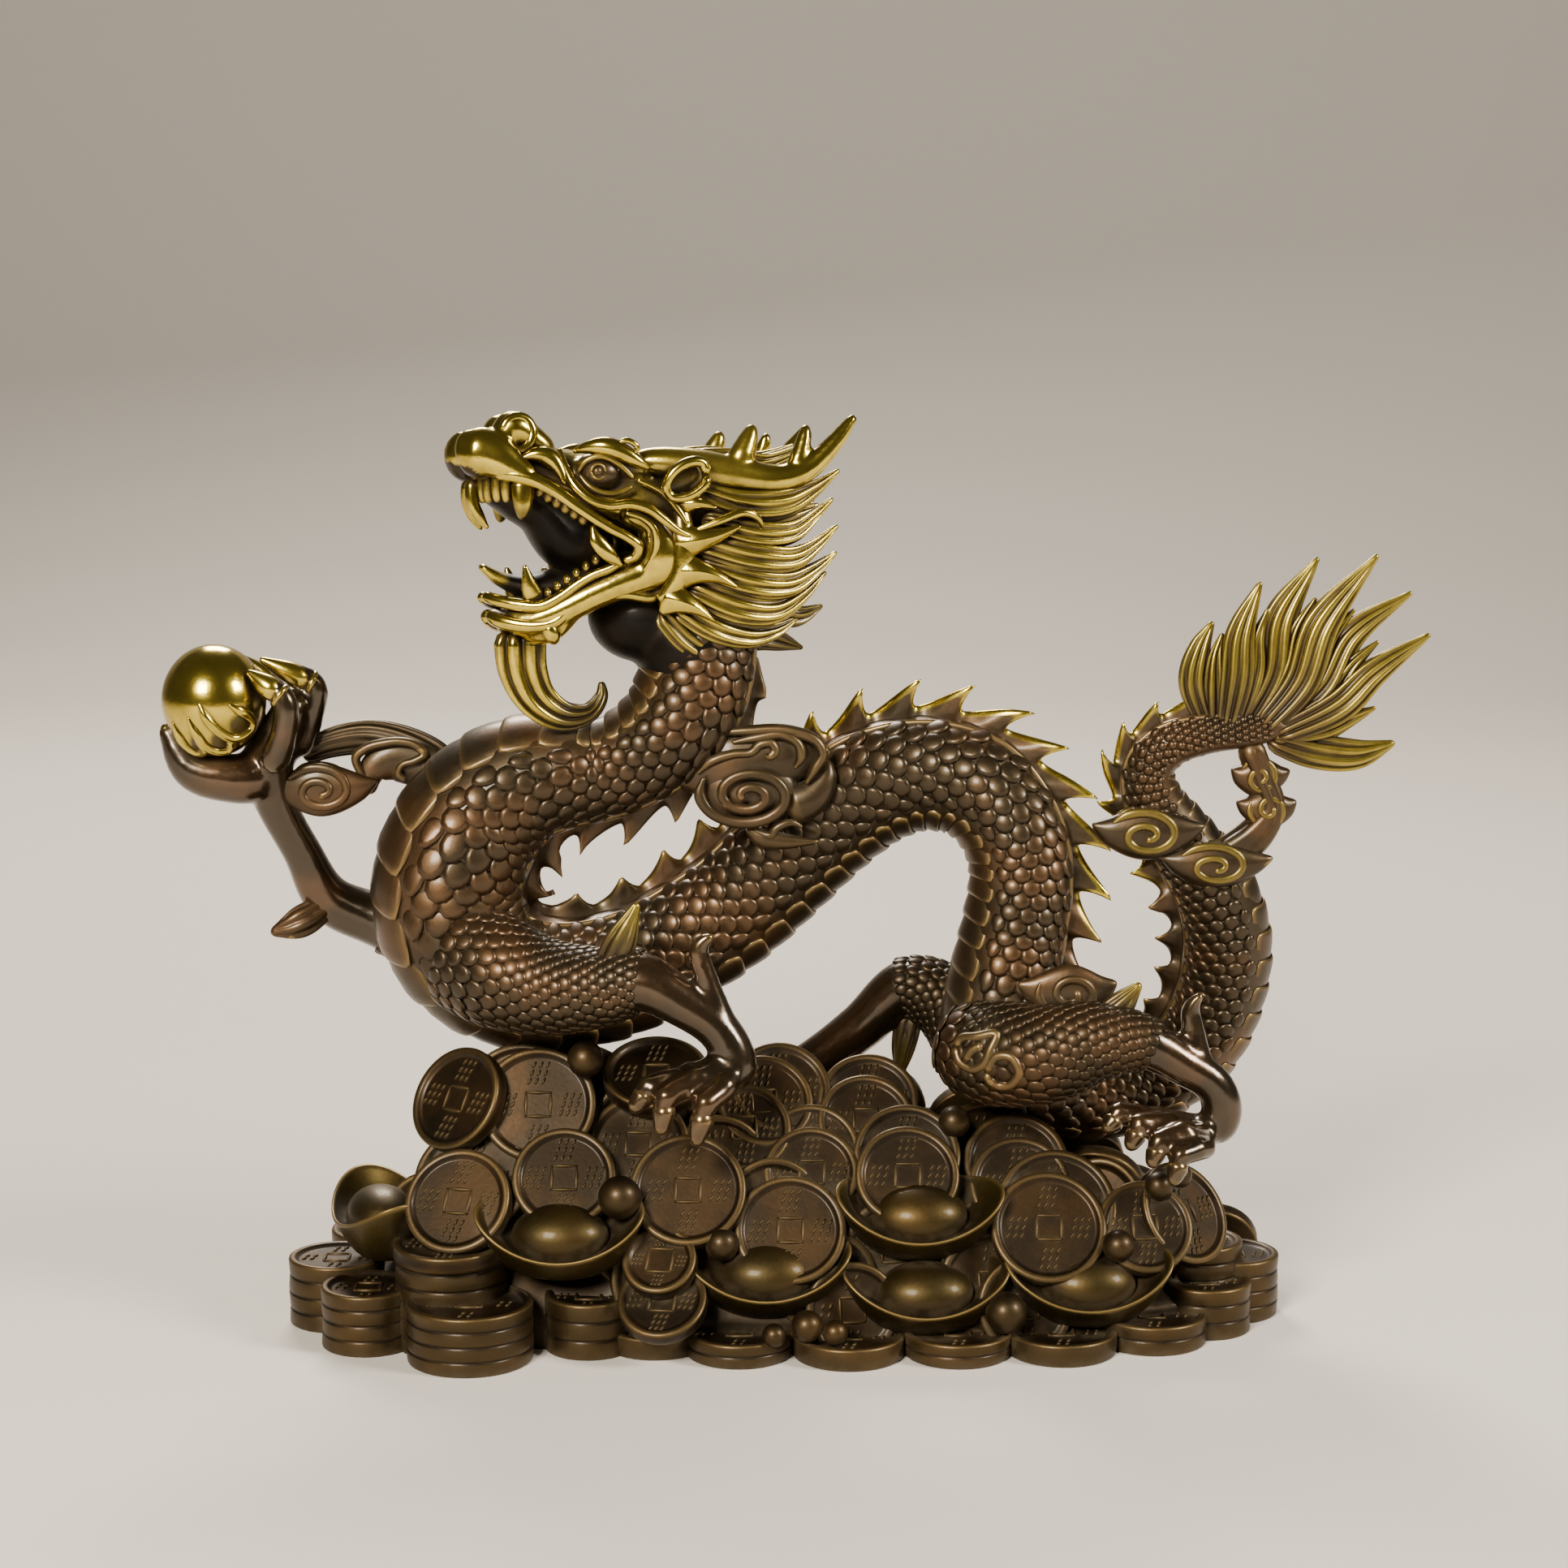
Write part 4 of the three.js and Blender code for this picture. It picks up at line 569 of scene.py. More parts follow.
class Line:
    """A smooth line through rows of x, y, z, half height and half width."""

    def __init__(self, rows, across=NEAR_SIDE):
        full = np.array([[*r[:4], r[4] if len(r) > 4 else r[3]] for r in rows], float)
        self.rows = np.vstack([2 * full[0] - full[1], full, 2 * full[-1] - full[-2]])
        self.across = np.array(across, float)
        self.last = len(rows) - 1
        self.places = np.linspace(0, self.last, self.last * 24 + 1)
        self.run = walked(self.through(self.places)[:, :3])
        self.length = self.run[-1]

    def through(self, place):
        """The rows' numbers at places counted in rows, by a centripetal Catmull-Rom curve."""
        i = np.clip(np.asarray(place).astype(int), 0, self.last - 1)
        f = (place - i)[:, None]
        a, b, c, d = (self.rows[i + k] for k in range(4))
        ab, bc, cd = (
            np.sqrt(np.maximum(np.linalg.norm((q - p)[:, :3], axis=1), 1e-6))[:, None]
            for p, q in ((a, b), (b, c), (c, d))
        )
        leave = ((b - a) / ab - (c - a) / (ab + bc) + (c - b) / bc) * bc
        arrive = ((c - b) / bc - (d - b) / (bc + cd) + (d - c) / cd) * bc
        square, cube = 3 * (c - b) - 2 * leave - arrive, 2 * (b - c) + leave + arrive
        return b + f * leave + f**2 * square + f**3 * cube

    def at(self, distance):
        """The line's frame and half sizes at these distances along it."""
        place = np.interp(distance, self.run, self.places)
        here = self.through(place)
        ahead = self.through(np.minimum(place + 0.03, self.last))[:, :3]
        behind = self.through(np.maximum(place - 0.03, 0))[:, :3]
        along = unit(ahead - behind)
        side = unit(self.across - along * (along @ self.across)[:, None])
        height, width = np.maximum(here[:, 3:], 0.15).T
        return SimpleNamespace(
            centre=here[:, :3], along=along, side=side, up=np.cross(side, along), height=height, width=width
        )

    def half_at(self, distance):
        """The half height at one distance."""
        return float(self.at(np.array([distance])).height[0])


SHELLS = {}


def shell(around, rows):
    """A closed shell, with each vertex's turn about its axis and its row from pole to pole."""
    if (around, rows) not in SHELLS:
        bm = bmesh.new()
        bmesh.ops.create_uvsphere(bm, u_segments=around, v_segments=rows, radius=1)
        for face in bm.faces:
            face.smooth = True
        mesh = bpy.data.meshes.new("shell")
        bm.to_mesh(mesh)
        bm.free()
        mesh.attributes.new("gilt", "FLOAT", "POINT")
        co = points_of(mesh)
        turn = np.arctan2(co[:, 1], co[:, 0])
        row = np.rint(np.arccos(np.clip(co[:, 2], -1, 1)) / math.pi * rows).astype(int)
        SHELLS[(around, rows)] = SimpleNamespace(mesh=mesh, turn=turn, row=row, unit=co, rows=rows)
    return SHELLS[(around, rows)]


def points_of(mesh):
    """A mesh's vertices as rows of x, y and z."""
    co = np.empty(len(mesh.vertices) * 3, np.float32)
    mesh.vertices.foreach_get("co", co)
    return co.reshape(-1, 3).astype(float)


class Casting:
    """Shapes gathered into one mesh."""

    def __init__(self):
        self.bm = bmesh.new()

    def add(self, mesh, points, gilt=0.0):
        """Adds a copy of the mesh with its vertices at these points, in millimetres."""
        values = gilt(points) if callable(gilt) else gilt
        mesh.vertices.foreach_set("co", (points * MM).astype(np.float32).ravel())
        spread = np.broadcast_to(values, len(points)).astype(np.float32)
        mesh.attributes["gilt"].data.foreach_set("value", np.ascontiguousarray(spread))
        self.bm.from_mesh(mesh)

    def mesh(self, name):
        mesh = bpy.data.meshes.new(name)
        self.bm.to_mesh(mesh)
        self.bm.free()
        return mesh


def shown(name, shape, material, node):
    """A casting or a mesh as a piece that rides with the model and stands for its node."""
    mesh = shape.mesh(name) if isinstance(shape, Casting) else shape
    piece = bpy.data.objects.new(name, mesh)
    bpy.context.scene.collection.objects.link(piece)
    mesh.materials.clear()
    mesh.materials.append(bpy.data.materials[material])
    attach(piece, "root")
    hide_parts(node)


def on_dragon(name, shape, material="Brown patinated cast brass"):
    shown(name, shape, material, "dragon")


def on_heap(name, shape, material="Dusty patinated cast brass"):
    shown(name, shape, material, "coin_heap")


def rounded(line, steps):
    """Distances along a line for the rows of a shell, and how full the section is there. The first and
    last three rows make the round caps."""
    caps = 3
    ends = line.at(np.array([0, line.length]))
    reach = np.minimum(np.minimum(ends.height, ends.width), line.length / 3)
    k = np.arange(steps + 1)
    distance = np.interp(k, [caps, steps - caps], [reach[0], line.length - reach[1]])
    quarter = np.clip(np.minimum(k, steps - k) / caps, 0, 1) * math.pi / 2
    full = np.sin(quarter)
    distance = np.where(k < caps, reach[0] * (1 - np.cos(quarter)), distance)
    distance = np.where(k > steps - caps, line.length - reach[1] * (1 - np.cos(quarter)), distance)
    return distance, full


def bar(cast, rows, around=12, steps=24, across=NEAR_SIDE, relief=None, gilt=0.0, edge=1.0, wash=0.0):
    """A bar with round ends along the rows. Relief gives a lift for turns, shares of the length and
    half sizes, and the wash takes the gilding out of its grooves. An edge over 1 makes the section a
    diamond, and one under 1 makes it square."""
    line = rows if isinstance(rows, Line) else Line(rows, across)
    form = shell(around, steps)
    distance, full = (values[form.row] for values in rounded(line, steps))
    at = line.at(distance)
    c, n = powered(np.cos(form.turn), edge), powered(np.sin(form.turn), edge)
    share = distance / line.length
    thin = np.minimum(at.width, at.height)
    lift = relief(form.turn, share, thin) * full if relief else 0
    out = unit(np.stack([c * at.height, n * at.width], axis=1))
    x = c * (at.width * full) + out[:, 0] * lift
    z = n * (at.height * full) + out[:, 1] * lift
    points = at.centre + at.side * x[:, None] + at.up * z[:, None]
    shade = gilt(share) if callable(gilt) else gilt
    grooved = smoothstep(0.1, 0.4, -lift / thin)
    cast.add(form.mesh, points, shade * (1 - wash * grooved))


def ball(cast, centre, half, around=24, rows=16, gilt=0.0, turn=0.0):
    """An ellipsoid about a centre, its first axis turned about Z."""
    form = shell(around, rows)
    x, y, z = (form.unit * np.array(half)).T
    c, s = math.cos(turn), math.sin(turn)
    cast.add(form.mesh, np.stack([x * c - y * s, x * s + y * c, z], axis=1) + np.array(centre), gilt)


def strands(count, depth=0.3, twist=0.0, smooth_tip=0.12):
    """Round strands with sharp grooves between them, which run out before the tip."""
    def relief(turn, share, size):
        fade = np.clip((1 - share) / smooth_tip, 0, 1)
        ridge = np.abs(np.sin(count * (turn + twist * share) / 2)) ** 0.55
        return depth * size * (ridge - 1) * fade

    return relief


def in_head(row):
    """A row in the head's frame, brought to the frame of the model."""
    forward, up, out, *rest = row
    p = HEAD_CENTRE + FORWARD * forward + NEAR * out
    return [p[0], p[1], p[2] + up, *rest]


def to_head(points):
    """Forward, up and out of points in the model's frame."""
    d = points - HEAD_CENTRE
    return d @ FORWARD, d[:, 2], d @ NEAR


def head_bar(cast, rows, around=12, steps=24, **rest):
    bar(cast, [in_head(r) for r in rows], around, steps, across=NEAR, **rest)


def mirrored(rows):
    """The far side's rows."""
    return [[r[0], r[1] - FAR_SIDE_DROP * abs(r[2]), -r[2], *r[3:]] for r in rows]


def both_sides(cast, rows, around=12, steps=24, **rest):
    head_bar(cast, rows, around, steps, **rest)
    head_bar(cast, mirrored(rows), around, steps, **rest)


def fused(casting, voxel, rounds, gilt):
    """The shapes of a casting run together into one skin, smoothed for some rounds."""
    rough = bpy.data.objects.new("rough", casting.mesh("rough"))
    bpy.context.scene.collection.objects.link(rough)
    remesh = rough.modifiers.new("fuse", "REMESH")
    remesh.mode = "VOXEL"
    remesh.voxel_size = voxel
    remesh.use_smooth_shade = True
    ease = rough.modifiers.new("ease", "SMOOTH")
    ease.iterations = rounds
    ease.factor = 0.5
    graph = bpy.context.evaluated_depsgraph_get()
    mesh = bpy.data.meshes.new_from_object(rough.evaluated_get(graph))
    unfused = rough.data
    bpy.data.objects.remove(rough)
    bpy.data.meshes.remove(unfused)
    if "gilt" in mesh.attributes:
        mesh.attributes.remove(mesh.attributes["gilt"])
    values = np.broadcast_to(gilt(points_of(mesh) / MM), len(mesh.vertices)).astype(np.float32)
    mesh.attributes.new("gilt", "FLOAT", "POINT").data.foreach_set("value", np.ascontiguousarray(values))
    return mesh


# Materials


def node(tree, kind, links=None, **settings):
    """Adds a node with its settings, and its inputs as links or plain values."""
    made = tree.nodes.new(kind)
    for key, value in settings.items():
        setattr(made, key, value)
    for key, value in (links or {}).items():
        if isinstance(value, bpy.types.NodeSocket):
            tree.links.new(value, made.inputs[key])
        else:
            made.inputs[key].default_value = value
    return made


def ramp(tree, value, low, high):
    """A value from low to high brought to 0 to 1, eased and held at both ends."""
    return node(
        tree, "ShaderNodeMapRange", {"Value": value, "From Min": low, "From Max": high},
        interpolation_type="SMOOTHSTEP",
    ).outputs["Result"]


def times(tree, a, b):
    return node(tree, "ShaderNodeMath", {0: a, 1: b}, operation="MULTIPLY").outputs[0]


def mixed(tree, factor, a, b):
    return node(tree, "ShaderNodeMix", {0: factor, 6: a, 7: b}, data_type="RGBA").outputs[2]


def blended(tree, factor, a, b):
    return node(tree, "ShaderNodeMix", {0: factor, 2: a, 3: b}, data_type="FLOAT").outputs[0]


def noise(tree, place, size_mm, detail):
    """Noise whose blotches are about this wide."""
    return node(
        tree, "ShaderNodeTexNoise", {"Vector": place, "Scale": 1 / (size_mm * MM), "Detail": detail}
    ).outputs["Fac"]


def cast_brass(name, brown, russet, brown_rough=0.39, dusty=0.5, wear=0.5, gilt_rough=0.2, lacquer=0.22):
    """Cast brass with a chemical patina from brown to russet, gilt where the gilt attribute says, dark
    and dusty in its hollows and rubbed bright on its edges."""
    finish = bpy.context.scene.finishes
    material = bpy.data.materials.new(name)
    material.use_nodes = True
    tree = material.node_tree
    shader = tree.nodes["Principled BSDF"]
    place = node(tree, "ShaderNodeTexCoord").outputs["Object"]
    # Blotches of the patina, mottling of the dust, and a casting grain drawn coarse enough to show
    cloudy = noise(tree, place, 14, 5)
    mottled = noise(tree, place, 3.5, 4)
    fine = noise(tree, place, 0.9, 3)
    hollow, deep = (
        node(tree, "ShaderNodeAmbientOcclusion", {"Distance": reach_mm * MM}, samples=6).outputs["AO"]
        for reach_mm in (4.5, 16)
    )
    sharp = node(tree, "ShaderNodeNewGeometry").outputs["Pointiness"]
    edge = ramp(tree, sharp, 0.515, 0.6)
    asked = node(tree, "ShaderNodeAttribute", attribute_name="gilt").outputs["Fac"]
    # Gilding is rubbed out of the hollows, and the antique wash stays there
    gilt = times(tree, asked, times(tree, ramp(tree, hollow, 0.42, 0.84), ramp(tree, deep, 0.1, 0.5)))

    patina = mixed(tree, ramp(tree, cloudy, 0.42, 0.66), brown, russet)
    patina = mixed(tree, times(tree, edge, wear), patina, tuple(finish.worn))
    rubbed = blended(tree, 0.6, ramp(tree, mottled, 0.4, 0.75), ramp(tree, hollow, 0.98, 0.6))
    gold = mixed(tree, rubbed, tuple(finish.gilt), tuple(finish.deep_gilt))
    metal = mixed(tree, gilt, patina, gold)
    sheltered = ramp(tree, hollow, 0.85, 0.35)
    settled = times(tree, sheltered, blended(tree, ramp(tree, mottled, 0.35, 0.6), 0.45, 1.0))
    dust = times(tree, times(tree, settled, dusty), blended(tree, asked, 1.0, 0.35))
    tree.links.new(mixed(tree, dust, metal, tuple(finish.dust)), shader.inputs["Base Color"])

    solid = blended(tree, gilt, 0.86, 1.0)
    tree.links.new(blended(tree, dust, solid, 0.1), shader.inputs["Metallic"])
    rough = blended(tree, gilt, blended(tree, fine, brown_rough - 0.06, brown_rough + 0.12),
                    blended(tree, mottled, gilt_rough - 0.04, gilt_rough + 0.1))
    tree.links.new(blended(tree, dust, rough, 0.8), shader.inputs["Roughness"])
    # A thin lacquer gives the sharp pale highlights
    shader.inputs["Coat Weight"].default_value = lacquer
    shader.inputs["Coat Roughness"].default_value = 0.16
    grain = blended(tree, 0.35, fine, mottled)
    bump = node(tree, "ShaderNodeBump", {"Height": grain, "Strength": 0.35, "Distance": 0.00012})
    tree.links.new(bump.outputs["Normal"], shader.inputs["Normal"])
    return material


def make_materials():
    finish = bpy.context.scene.finishes
    brown = tuple(finish.brown), tuple(finish.russet)
    thigh = linear("#33291A"), linear("#4A3622")
    heap = linear("#231A0E"), linear("#342512")
    washed = linear("#2B2013"), linear("#3B2B15")
    black = linear("#0F0B07"), linear("#18110A")
    # Sand cast brass under a brown chemical patina: satin, chocolate to russet, darker in the joints
    cast_brass("Brown patinated cast brass", *brown)
    # The thighs lie in the lee of the body: the same patina painted darker as painted shade, dusty and
    # hardly rubbed
    cast_brass("Shaded dull brown cast brass", *thigh, brown_rough=0.42, dusty=0.6, wear=0.35, lacquer=0.1)
    # The smooth limbs are rubbed by hands: glossier, with brass on each knuckle
    cast_brass("Hand rubbed brown brass", *brown, brown_rough=0.2, wear=0.6, lacquer=0.7)
    # The same brass on the heap, never wiped: dull, olive dust in each hollow, rims rubbed to brass
    cast_brass("Dusty patinated cast brass", *heap, brown_rough=0.44, dusty=0.6, wear=0.42, lacquer=0.1)
    # The mound and the marks on the coins lie too low for a hand to rub
    cast_brass("Unrubbed dusty cast brass", *heap, brown_rough=0.5, dusty=0.6, wear=0.1, lacquer=0.05)
    # Burnished gilt brass with an antique wash: mirror bright on the swells, black in the grooves
    cast_brass("Burnished gilt brass", *washed, brown_rough=0.4, dusty=0.25, wear=0.4, gilt_rough=0.14,
               lacquer=0.35)
    # The mouth, tongue and throat are painted nearly black as painted shade, with a dull shine
    cast_brass("Painted shade dark cast brass", *black, brown_rough=0.45, dusty=0.3, wear=0.12, lacquer=0.06)


# The dragon's body


def on_surface(line, distances, angles):
    """Points on a line's surface, and the outward direction there. Angles are measured from the back,
    and positive ones lie on the near side."""
    at = line.at(np.clip(distances, 0, line.length))
    c, n = np.cos(angles)[:, None], np.sin(angles)[:, None]
    out = at.up * c + at.side * n
    reach = at.height * np.abs(np.cos(angles)) ** 2 + at.width * np.abs(np.sin(angles)) ** 2
    return at.centre + out * reach[:, None], out


def scattered(cast, line, scales, thick, tilt):
    """Scales on a line's surface, as flat domes whose round free ends stand up towards the tail. Each
    scale is a distance, an angle, a half width, and whether its free end is pointed."""
    form = shell(10, 5)
    distances, angles, half_widths, pointed = np.array(scales).T
    place, normal = on_surface(line, distances, angles)
    ahead, behind = (on_surface(line, distances + step, angles)[0] for step in (1, -1))
    flow = (ahead - behind) / 2
    stretch = np.clip(np.linalg.norm(flow, axis=1), 0.4, 1.4)
    along = unit(flow)
    across = unit(np.cross(normal, along))
    normal = unit(np.cross(along, across))
    lean = math.radians(tilt)
    tip = along * math.cos(lean) + normal * math.sin(lean)
    rise = normal * math.cos(lean) - along * math.sin(lean)
    u, v, w = form.unit.T
    # A scale is round at its free end, and squarer where it is rooted
    square = np.where(v < 0, 1 + 0.12 * np.abs(v), 1)
    narrowing = square * (1 - 0.35 * np.clip(v, 0, 1))
    domed = np.where(w > 0, w * thick, w * thick * 0.5) + 0.1
    for i, wide in enumerate(half_widths):
        shape, longer = (narrowing, 1.3) if pointed[i] else (square, 1)
        free = wide * stretch[i] ** 0.75 * longer
        cast.add(form.mesh, (
            place[i]
            + np.outer(u * shape * wide, across[i])
            + np.outer(v * free, tip[i])
            + np.outer(domed, rise[i])
        ))


class DRAGON_OT_skin(bpy.types.Operator):
    """The body's skin between the scales, with a double ridge along the back"""

    bl_idname = "dragon.skin"
    bl_label = "Body skin"

    def execute(self, context):
        cast = Casting()
        line = Line(BODY)
        bar(cast, line, 32, 300)
        places = np.linspace(6, line.length - 12, 160)
        for side in (1, -1):
            ridge, _ = on_surface(line, places, np.full(len(places), RIDGE_ANGLE * side))
            bar(cast, [[*p, RIDGE_HALF] for p in ridge], 8, 360)
        on_dragon("body_skin", cast)
        return {"FINISHED"}


class DRAGON_OT_scales(bpy.types.Operator):
    """Rows of domed fish scales down both sides of the body"""

    bl_idname = "dragon.scales"
    bl_label = "Body scales"

    def execute(self, context):
        cast = Casting()
        line = Line(BODY)
        pitch, columns = sizes().scale_pitch / MM, sizes().scale_columns
        gap = (LAST_SCALE - FIRST_SCALE) / (columns - 0.5)
        rows, distance = [], 6.0
        while distance < line.length - 4:
            half = line.half_at(distance)
            rows.append((distance, half, len(rows) % 2))
            distance += pitch * (half / 12) ** 0.7
        for side in (1, -1):
            scales = []
            for start, half, odd in rows:
                for column in range(columns - odd):
                    angle = (FIRST_SCALE + gap * (column + 0.5 * odd)) * side
                    # The outermost column is narrower, and pointed towards the belly plates
                    outermost = column == columns - 1
                    scales.append((start, angle, half * gap * (0.46 if outermost else 0.56), outermost))
            scattered(cast, line, scales, thick=0.68, tilt=14)
        on_dragon("body_scales", cast)
        return {"FINISHED"}


class DRAGON_OT_belly(bpy.types.Operator):
    """Belly plates that overlap like tiles, with corners that point towards the tail"""

    bl_idname = "dragon.belly"
    bl_label = "Belly plates"

    def execute(self, context):
        cast = Casting()
        line = Line(BODY)
        form = shell(14, 18)
        pitch = sizes().plate_pitch / MM
        across = (form.row / form.rows * 2 - 1) * BELLY_REACH
        outward = np.abs(across) / BELLY_REACH
        pinch = np.clip(1 - outward**10, 0, 1) ** 0.5
        flat = 1 + 0.03 * np.cos(across * 3)
        # A plate's section is squared off towards the head and the tail, and round between its faces
        c = powered(np.cos(form.turn), 0.6)
        n = np.sin(form.turn)
        distance = 3.0
        while distance < line.length - 5:
            size = line.half_at(distance) / 13
            reach = pitch * size * 0.66
            slide = c * reach * pinch + 2.0 * size * outward**2.2
            at = line.at(np.clip(distance + slide, 0, line.length))
            lift = (0.1 + 1.05 * (c + 1) / 2 + n * 0.6 * pinch) * size - 0.5
            radial = -at.up * np.cos(across)[:, None] + at.side * np.sin(across)[:, None]
            cast.add(form.mesh, at.centre + radial * (at.height * flat + lift)[:, None])
            distance += pitch * size**0.5
        on_dragon("belly_plates", cast)
        return {"FINISHED"}


class DRAGON_OT_fin(bpy.types.Operator):
    """The ruffled fin along the back: hooked teeth, each with a fold, joined by low webs"""

    bl_idname = "dragon.fin"
    bl_label = "Back fin"

    def execute(self, context):
        cast = Casting()
        line = Line(BODY)
        pitch = sizes().fin_pitch / MM
        for closeness, run in FINS:
            share, height, gilding = np.array(run).T
            # Teeth are even along the fin's own edge, not along the middle of the body
            d = np.linspace(share[0], share[-1], 600) * line.length
            at = line.at(d)
            run_along = walked(at.centre + at.up * (at.height + 3)[:, None])
            teeth = round(run_along[-1] / pitch / closeness)
            form = shell(16, teeth * 14)
            part = form.row / form.rows
            place = np.interp(part * run_along[-1], run_along, d)
            phase = (part * teeth) % 1
            tooth = np.where(phase < TOOTH_PEAK, np.clip(phase / TOOTH_PEAK, 0, 1) ** 2,
                             np.clip((1 - phase) / (1 - TOOTH_PEAK), 0, 1) ** 1.6)
            ends = np.clip(np.minimum(part, 1 - part) * teeth * 2, 0, 1)
            tall = np.interp(place / line.length, share, height)
            rise = (WEB_HEIGHT + (tall - WEB_HEIGHT) * tooth) * ends
            up_share = (np.sin(form.turn) + 1) / 2
            # Each tooth hooks towards the tail, and its fold swings out to one side and the other
            hook = up_share**1.5 * tooth * tall * 0.42
            at = line.at(np.clip(place + hook, 0, line.length))
            fold = np.sin(2 * math.pi * (phase - TOOTH_PEAK + 0.22)) * 0.17 * tall * up_share**1.3 * ends
            bead = np.exp(-(((up_share - 0.92) / 0.09) ** 2))
            thick = 0.9 - 0.5 * up_share + 0.5 * bead
            out = np.cos(form.turn) * thick + fold
            up = up_share * (FIN_ROOT + rise) - FIN_ROOT
            points = at.centre + at.up * (at.height + up)[:, None] + at.side * out[:, None]
            shine = np.interp(place / line.length, share, gilding)
            cast.add(form.mesh, points, shine * smoothstep(0.68, 0.86, up_share))
        on_dragon("back_fin", cast)
        return {"FINISHED"}


# Limbs


class DRAGON_OT_limbs(bpy.types.Operator):
    """Legs, paws, toes and fingers, run together into one skin"""

    bl_idname = "dragon.limbs"
    bl_label = "Limbs"

    def execute(self, context):
        cast = Casting()
        for rows in (RAISED_ARM, NEAR_FORELEG, NEAR_HINDLEG, FAR_HINDLEG):
            bar(cast, rows, 24, 60)
        for rows in [*HEEL_SPURS, *TOES, *FINGERS]:
            bar(cast, rows, 16, 30)
        # A knuckle swells a little over its toe
        for toe in TOES:
            for x, y, z, half in toe[1:3]:
                ball(cast, (x, y, z + 0.3), (half * 1.12,) * 3, 12, 8)

        def fingers_gilt(points):
            reach = np.linalg.norm(points - np.array(PEARL), axis=1)
            gilt = 0.6 * smoothstep(*FINGER_GILT_REACH, reach)
            return gilt * smoothstep(*FINGER_GILT_HEIGHT, points[:, 2])

        mesh = fused(cast, sizes().limb_voxel, 4, fingers_gilt)
        on_dragon("limbs", mesh, "Hand rubbed brown brass")

        claws = Casting()
        for digit in [*TOES, *FINGERS[:3]]:
            finger = digit in FINGERS
            joint, tip = np.array(digit[2][:3], float), np.array(digit[3][:3], float)
            half = digit[2][3]
            away = unit(tip - joint)
            if finger:
                cuff = joint + away * 0.8
                ring = [[*(cuff + away * end), half * 1.12] for end in (-0.9, 0.9)]
                bar(claws, ring, 16, 8, gilt=0.4)
            middle = joint + (tip - joint) * 0.5
            point = 0.5 if finger else 1.1
            claw = [[*(joint + away * 0.6), half * 1.08], [*middle, half * 0.92], [*tip, point]]
            bar(claws, claw, 14, 18, gilt=1.0 if finger else 0.0)
        thumb = FINGERS[3]
        bar(claws, [[*thumb[2][:3], 3], [*thumb[3][:3], 1]], 14, 16, gilt=1.0)
        on_dragon("claws", claws, "Hand rubbed brown brass")
        return {"FINISHED"}


class DRAGON_OT_leg_scales(bpy.types.Operator):
    """Small scales on the thighs and upper arms, smaller towards the smooth paws"""

    bl_idname = "dragon.leg_scales"
    bl_label = "Leg scales"

    def execute(self, context):
        arms, thighs = Casting(), Casting()
        # How far down each limb the scales reach, as a share of its length
        for cast, rows, scaly in (
            (arms, RAISED_ARM, 0.2), (arms, NEAR_FORELEG, 0.55),
            (thighs, NEAR_HINDLEG, 0.62), (thighs, FAR_HINDLEG, 0.4),
        ):
            line = Line(rows)
            scales = []
            distance, row = 1.5, 0
            while distance < line.length * scaly:
                girth = 2 * math.pi * line.half_at(distance)
                fade = 1 - 0.4 * distance / (line.length * scaly)
                count = max(7, round(girth / (LEG_SCALE_WIDTH * fade)))
                for i in range(count):
                    angle = 2 * math.pi * (i + 0.5 * (row % 2)) / count
                    scales.append((distance, angle, girth / count * 0.56, False))
                distance += LEG_SCALE_PITCH * fade
                row += 1
            scattered(cast, line, scales, thick=0.55, tilt=9)
        on_dragon("arm_scales", arms)
        # The thigh scales are painted darker than the arms' as painted shade
        on_dragon("thigh_scales", thighs, "Shaded dull brown cast brass")
        return {"FINISHED"}


class DRAGON_OT_tufts(bpy.types.Operator):
    """Ribbed leaves at the elbows and hocks"""

    bl_idname = "dragon.tufts"
    bl_label = "Leaf tufts"

    def execute(self, context):
        cast = Casting()
        for index, rows in enumerate(TUFTS):
            # Only the tufts of the legs are rubbed bright at their tips
            worn = 0.45 if index else 0
            bar(cast, rows, 48, 40, relief=strands(7, 0.34, 0.4), gilt=lambda share: worn * share**3)
        on_dragon("leaf_tufts", cast)
        return {"FINISHED"}


class DRAGON_OT_pearl(bpy.types.Operator):
    """The gilt pearl, with loops of flame raised on it"""

    bl_idname = "dragon.pearl"
    bl_label = "Pearl"

    def execute(self, context):
        cast = Casting()

        # Gilding is taken down in each spot: the wash that such hollows hold, and painted shade for hollows
        # the ball does not have
        def washed(points):
            right, _, up = ((points - np.array(PEARL)) / np.array(PEARL_HALF)).T
            gilt = np.ones(len(points))
            for hollow in PEARL_HOLLOWS:
                gilt *= 0.1 + 0.9 * smoothstep(0.75, 1.25, from_spot(right, up, hollow))
            return gilt

        ball(cast, PEARL, PEARL_HALF, 96, 60, gilt=washed)
        for facing in (-1, 1):
            for loop in PEARL_FLAMES:
                rows = []
                for right, up in loop:
                    deep = math.sqrt(max(0.02, 1 - right**2 - up**2))
                    from_centre = np.array([right, facing * deep, up]) * np.array(PEARL_HALF)
                    rows.append([*(np.array(PEARL) + from_centre), 1.05])
                rows[0][3] = rows[-1][3] = 0.3
                bar(cast, rows, 10, 60, gilt=1.0)
        on_dragon("pearl", cast, "Burnished gilt brass")
        return {"FINISHED"}


# The head


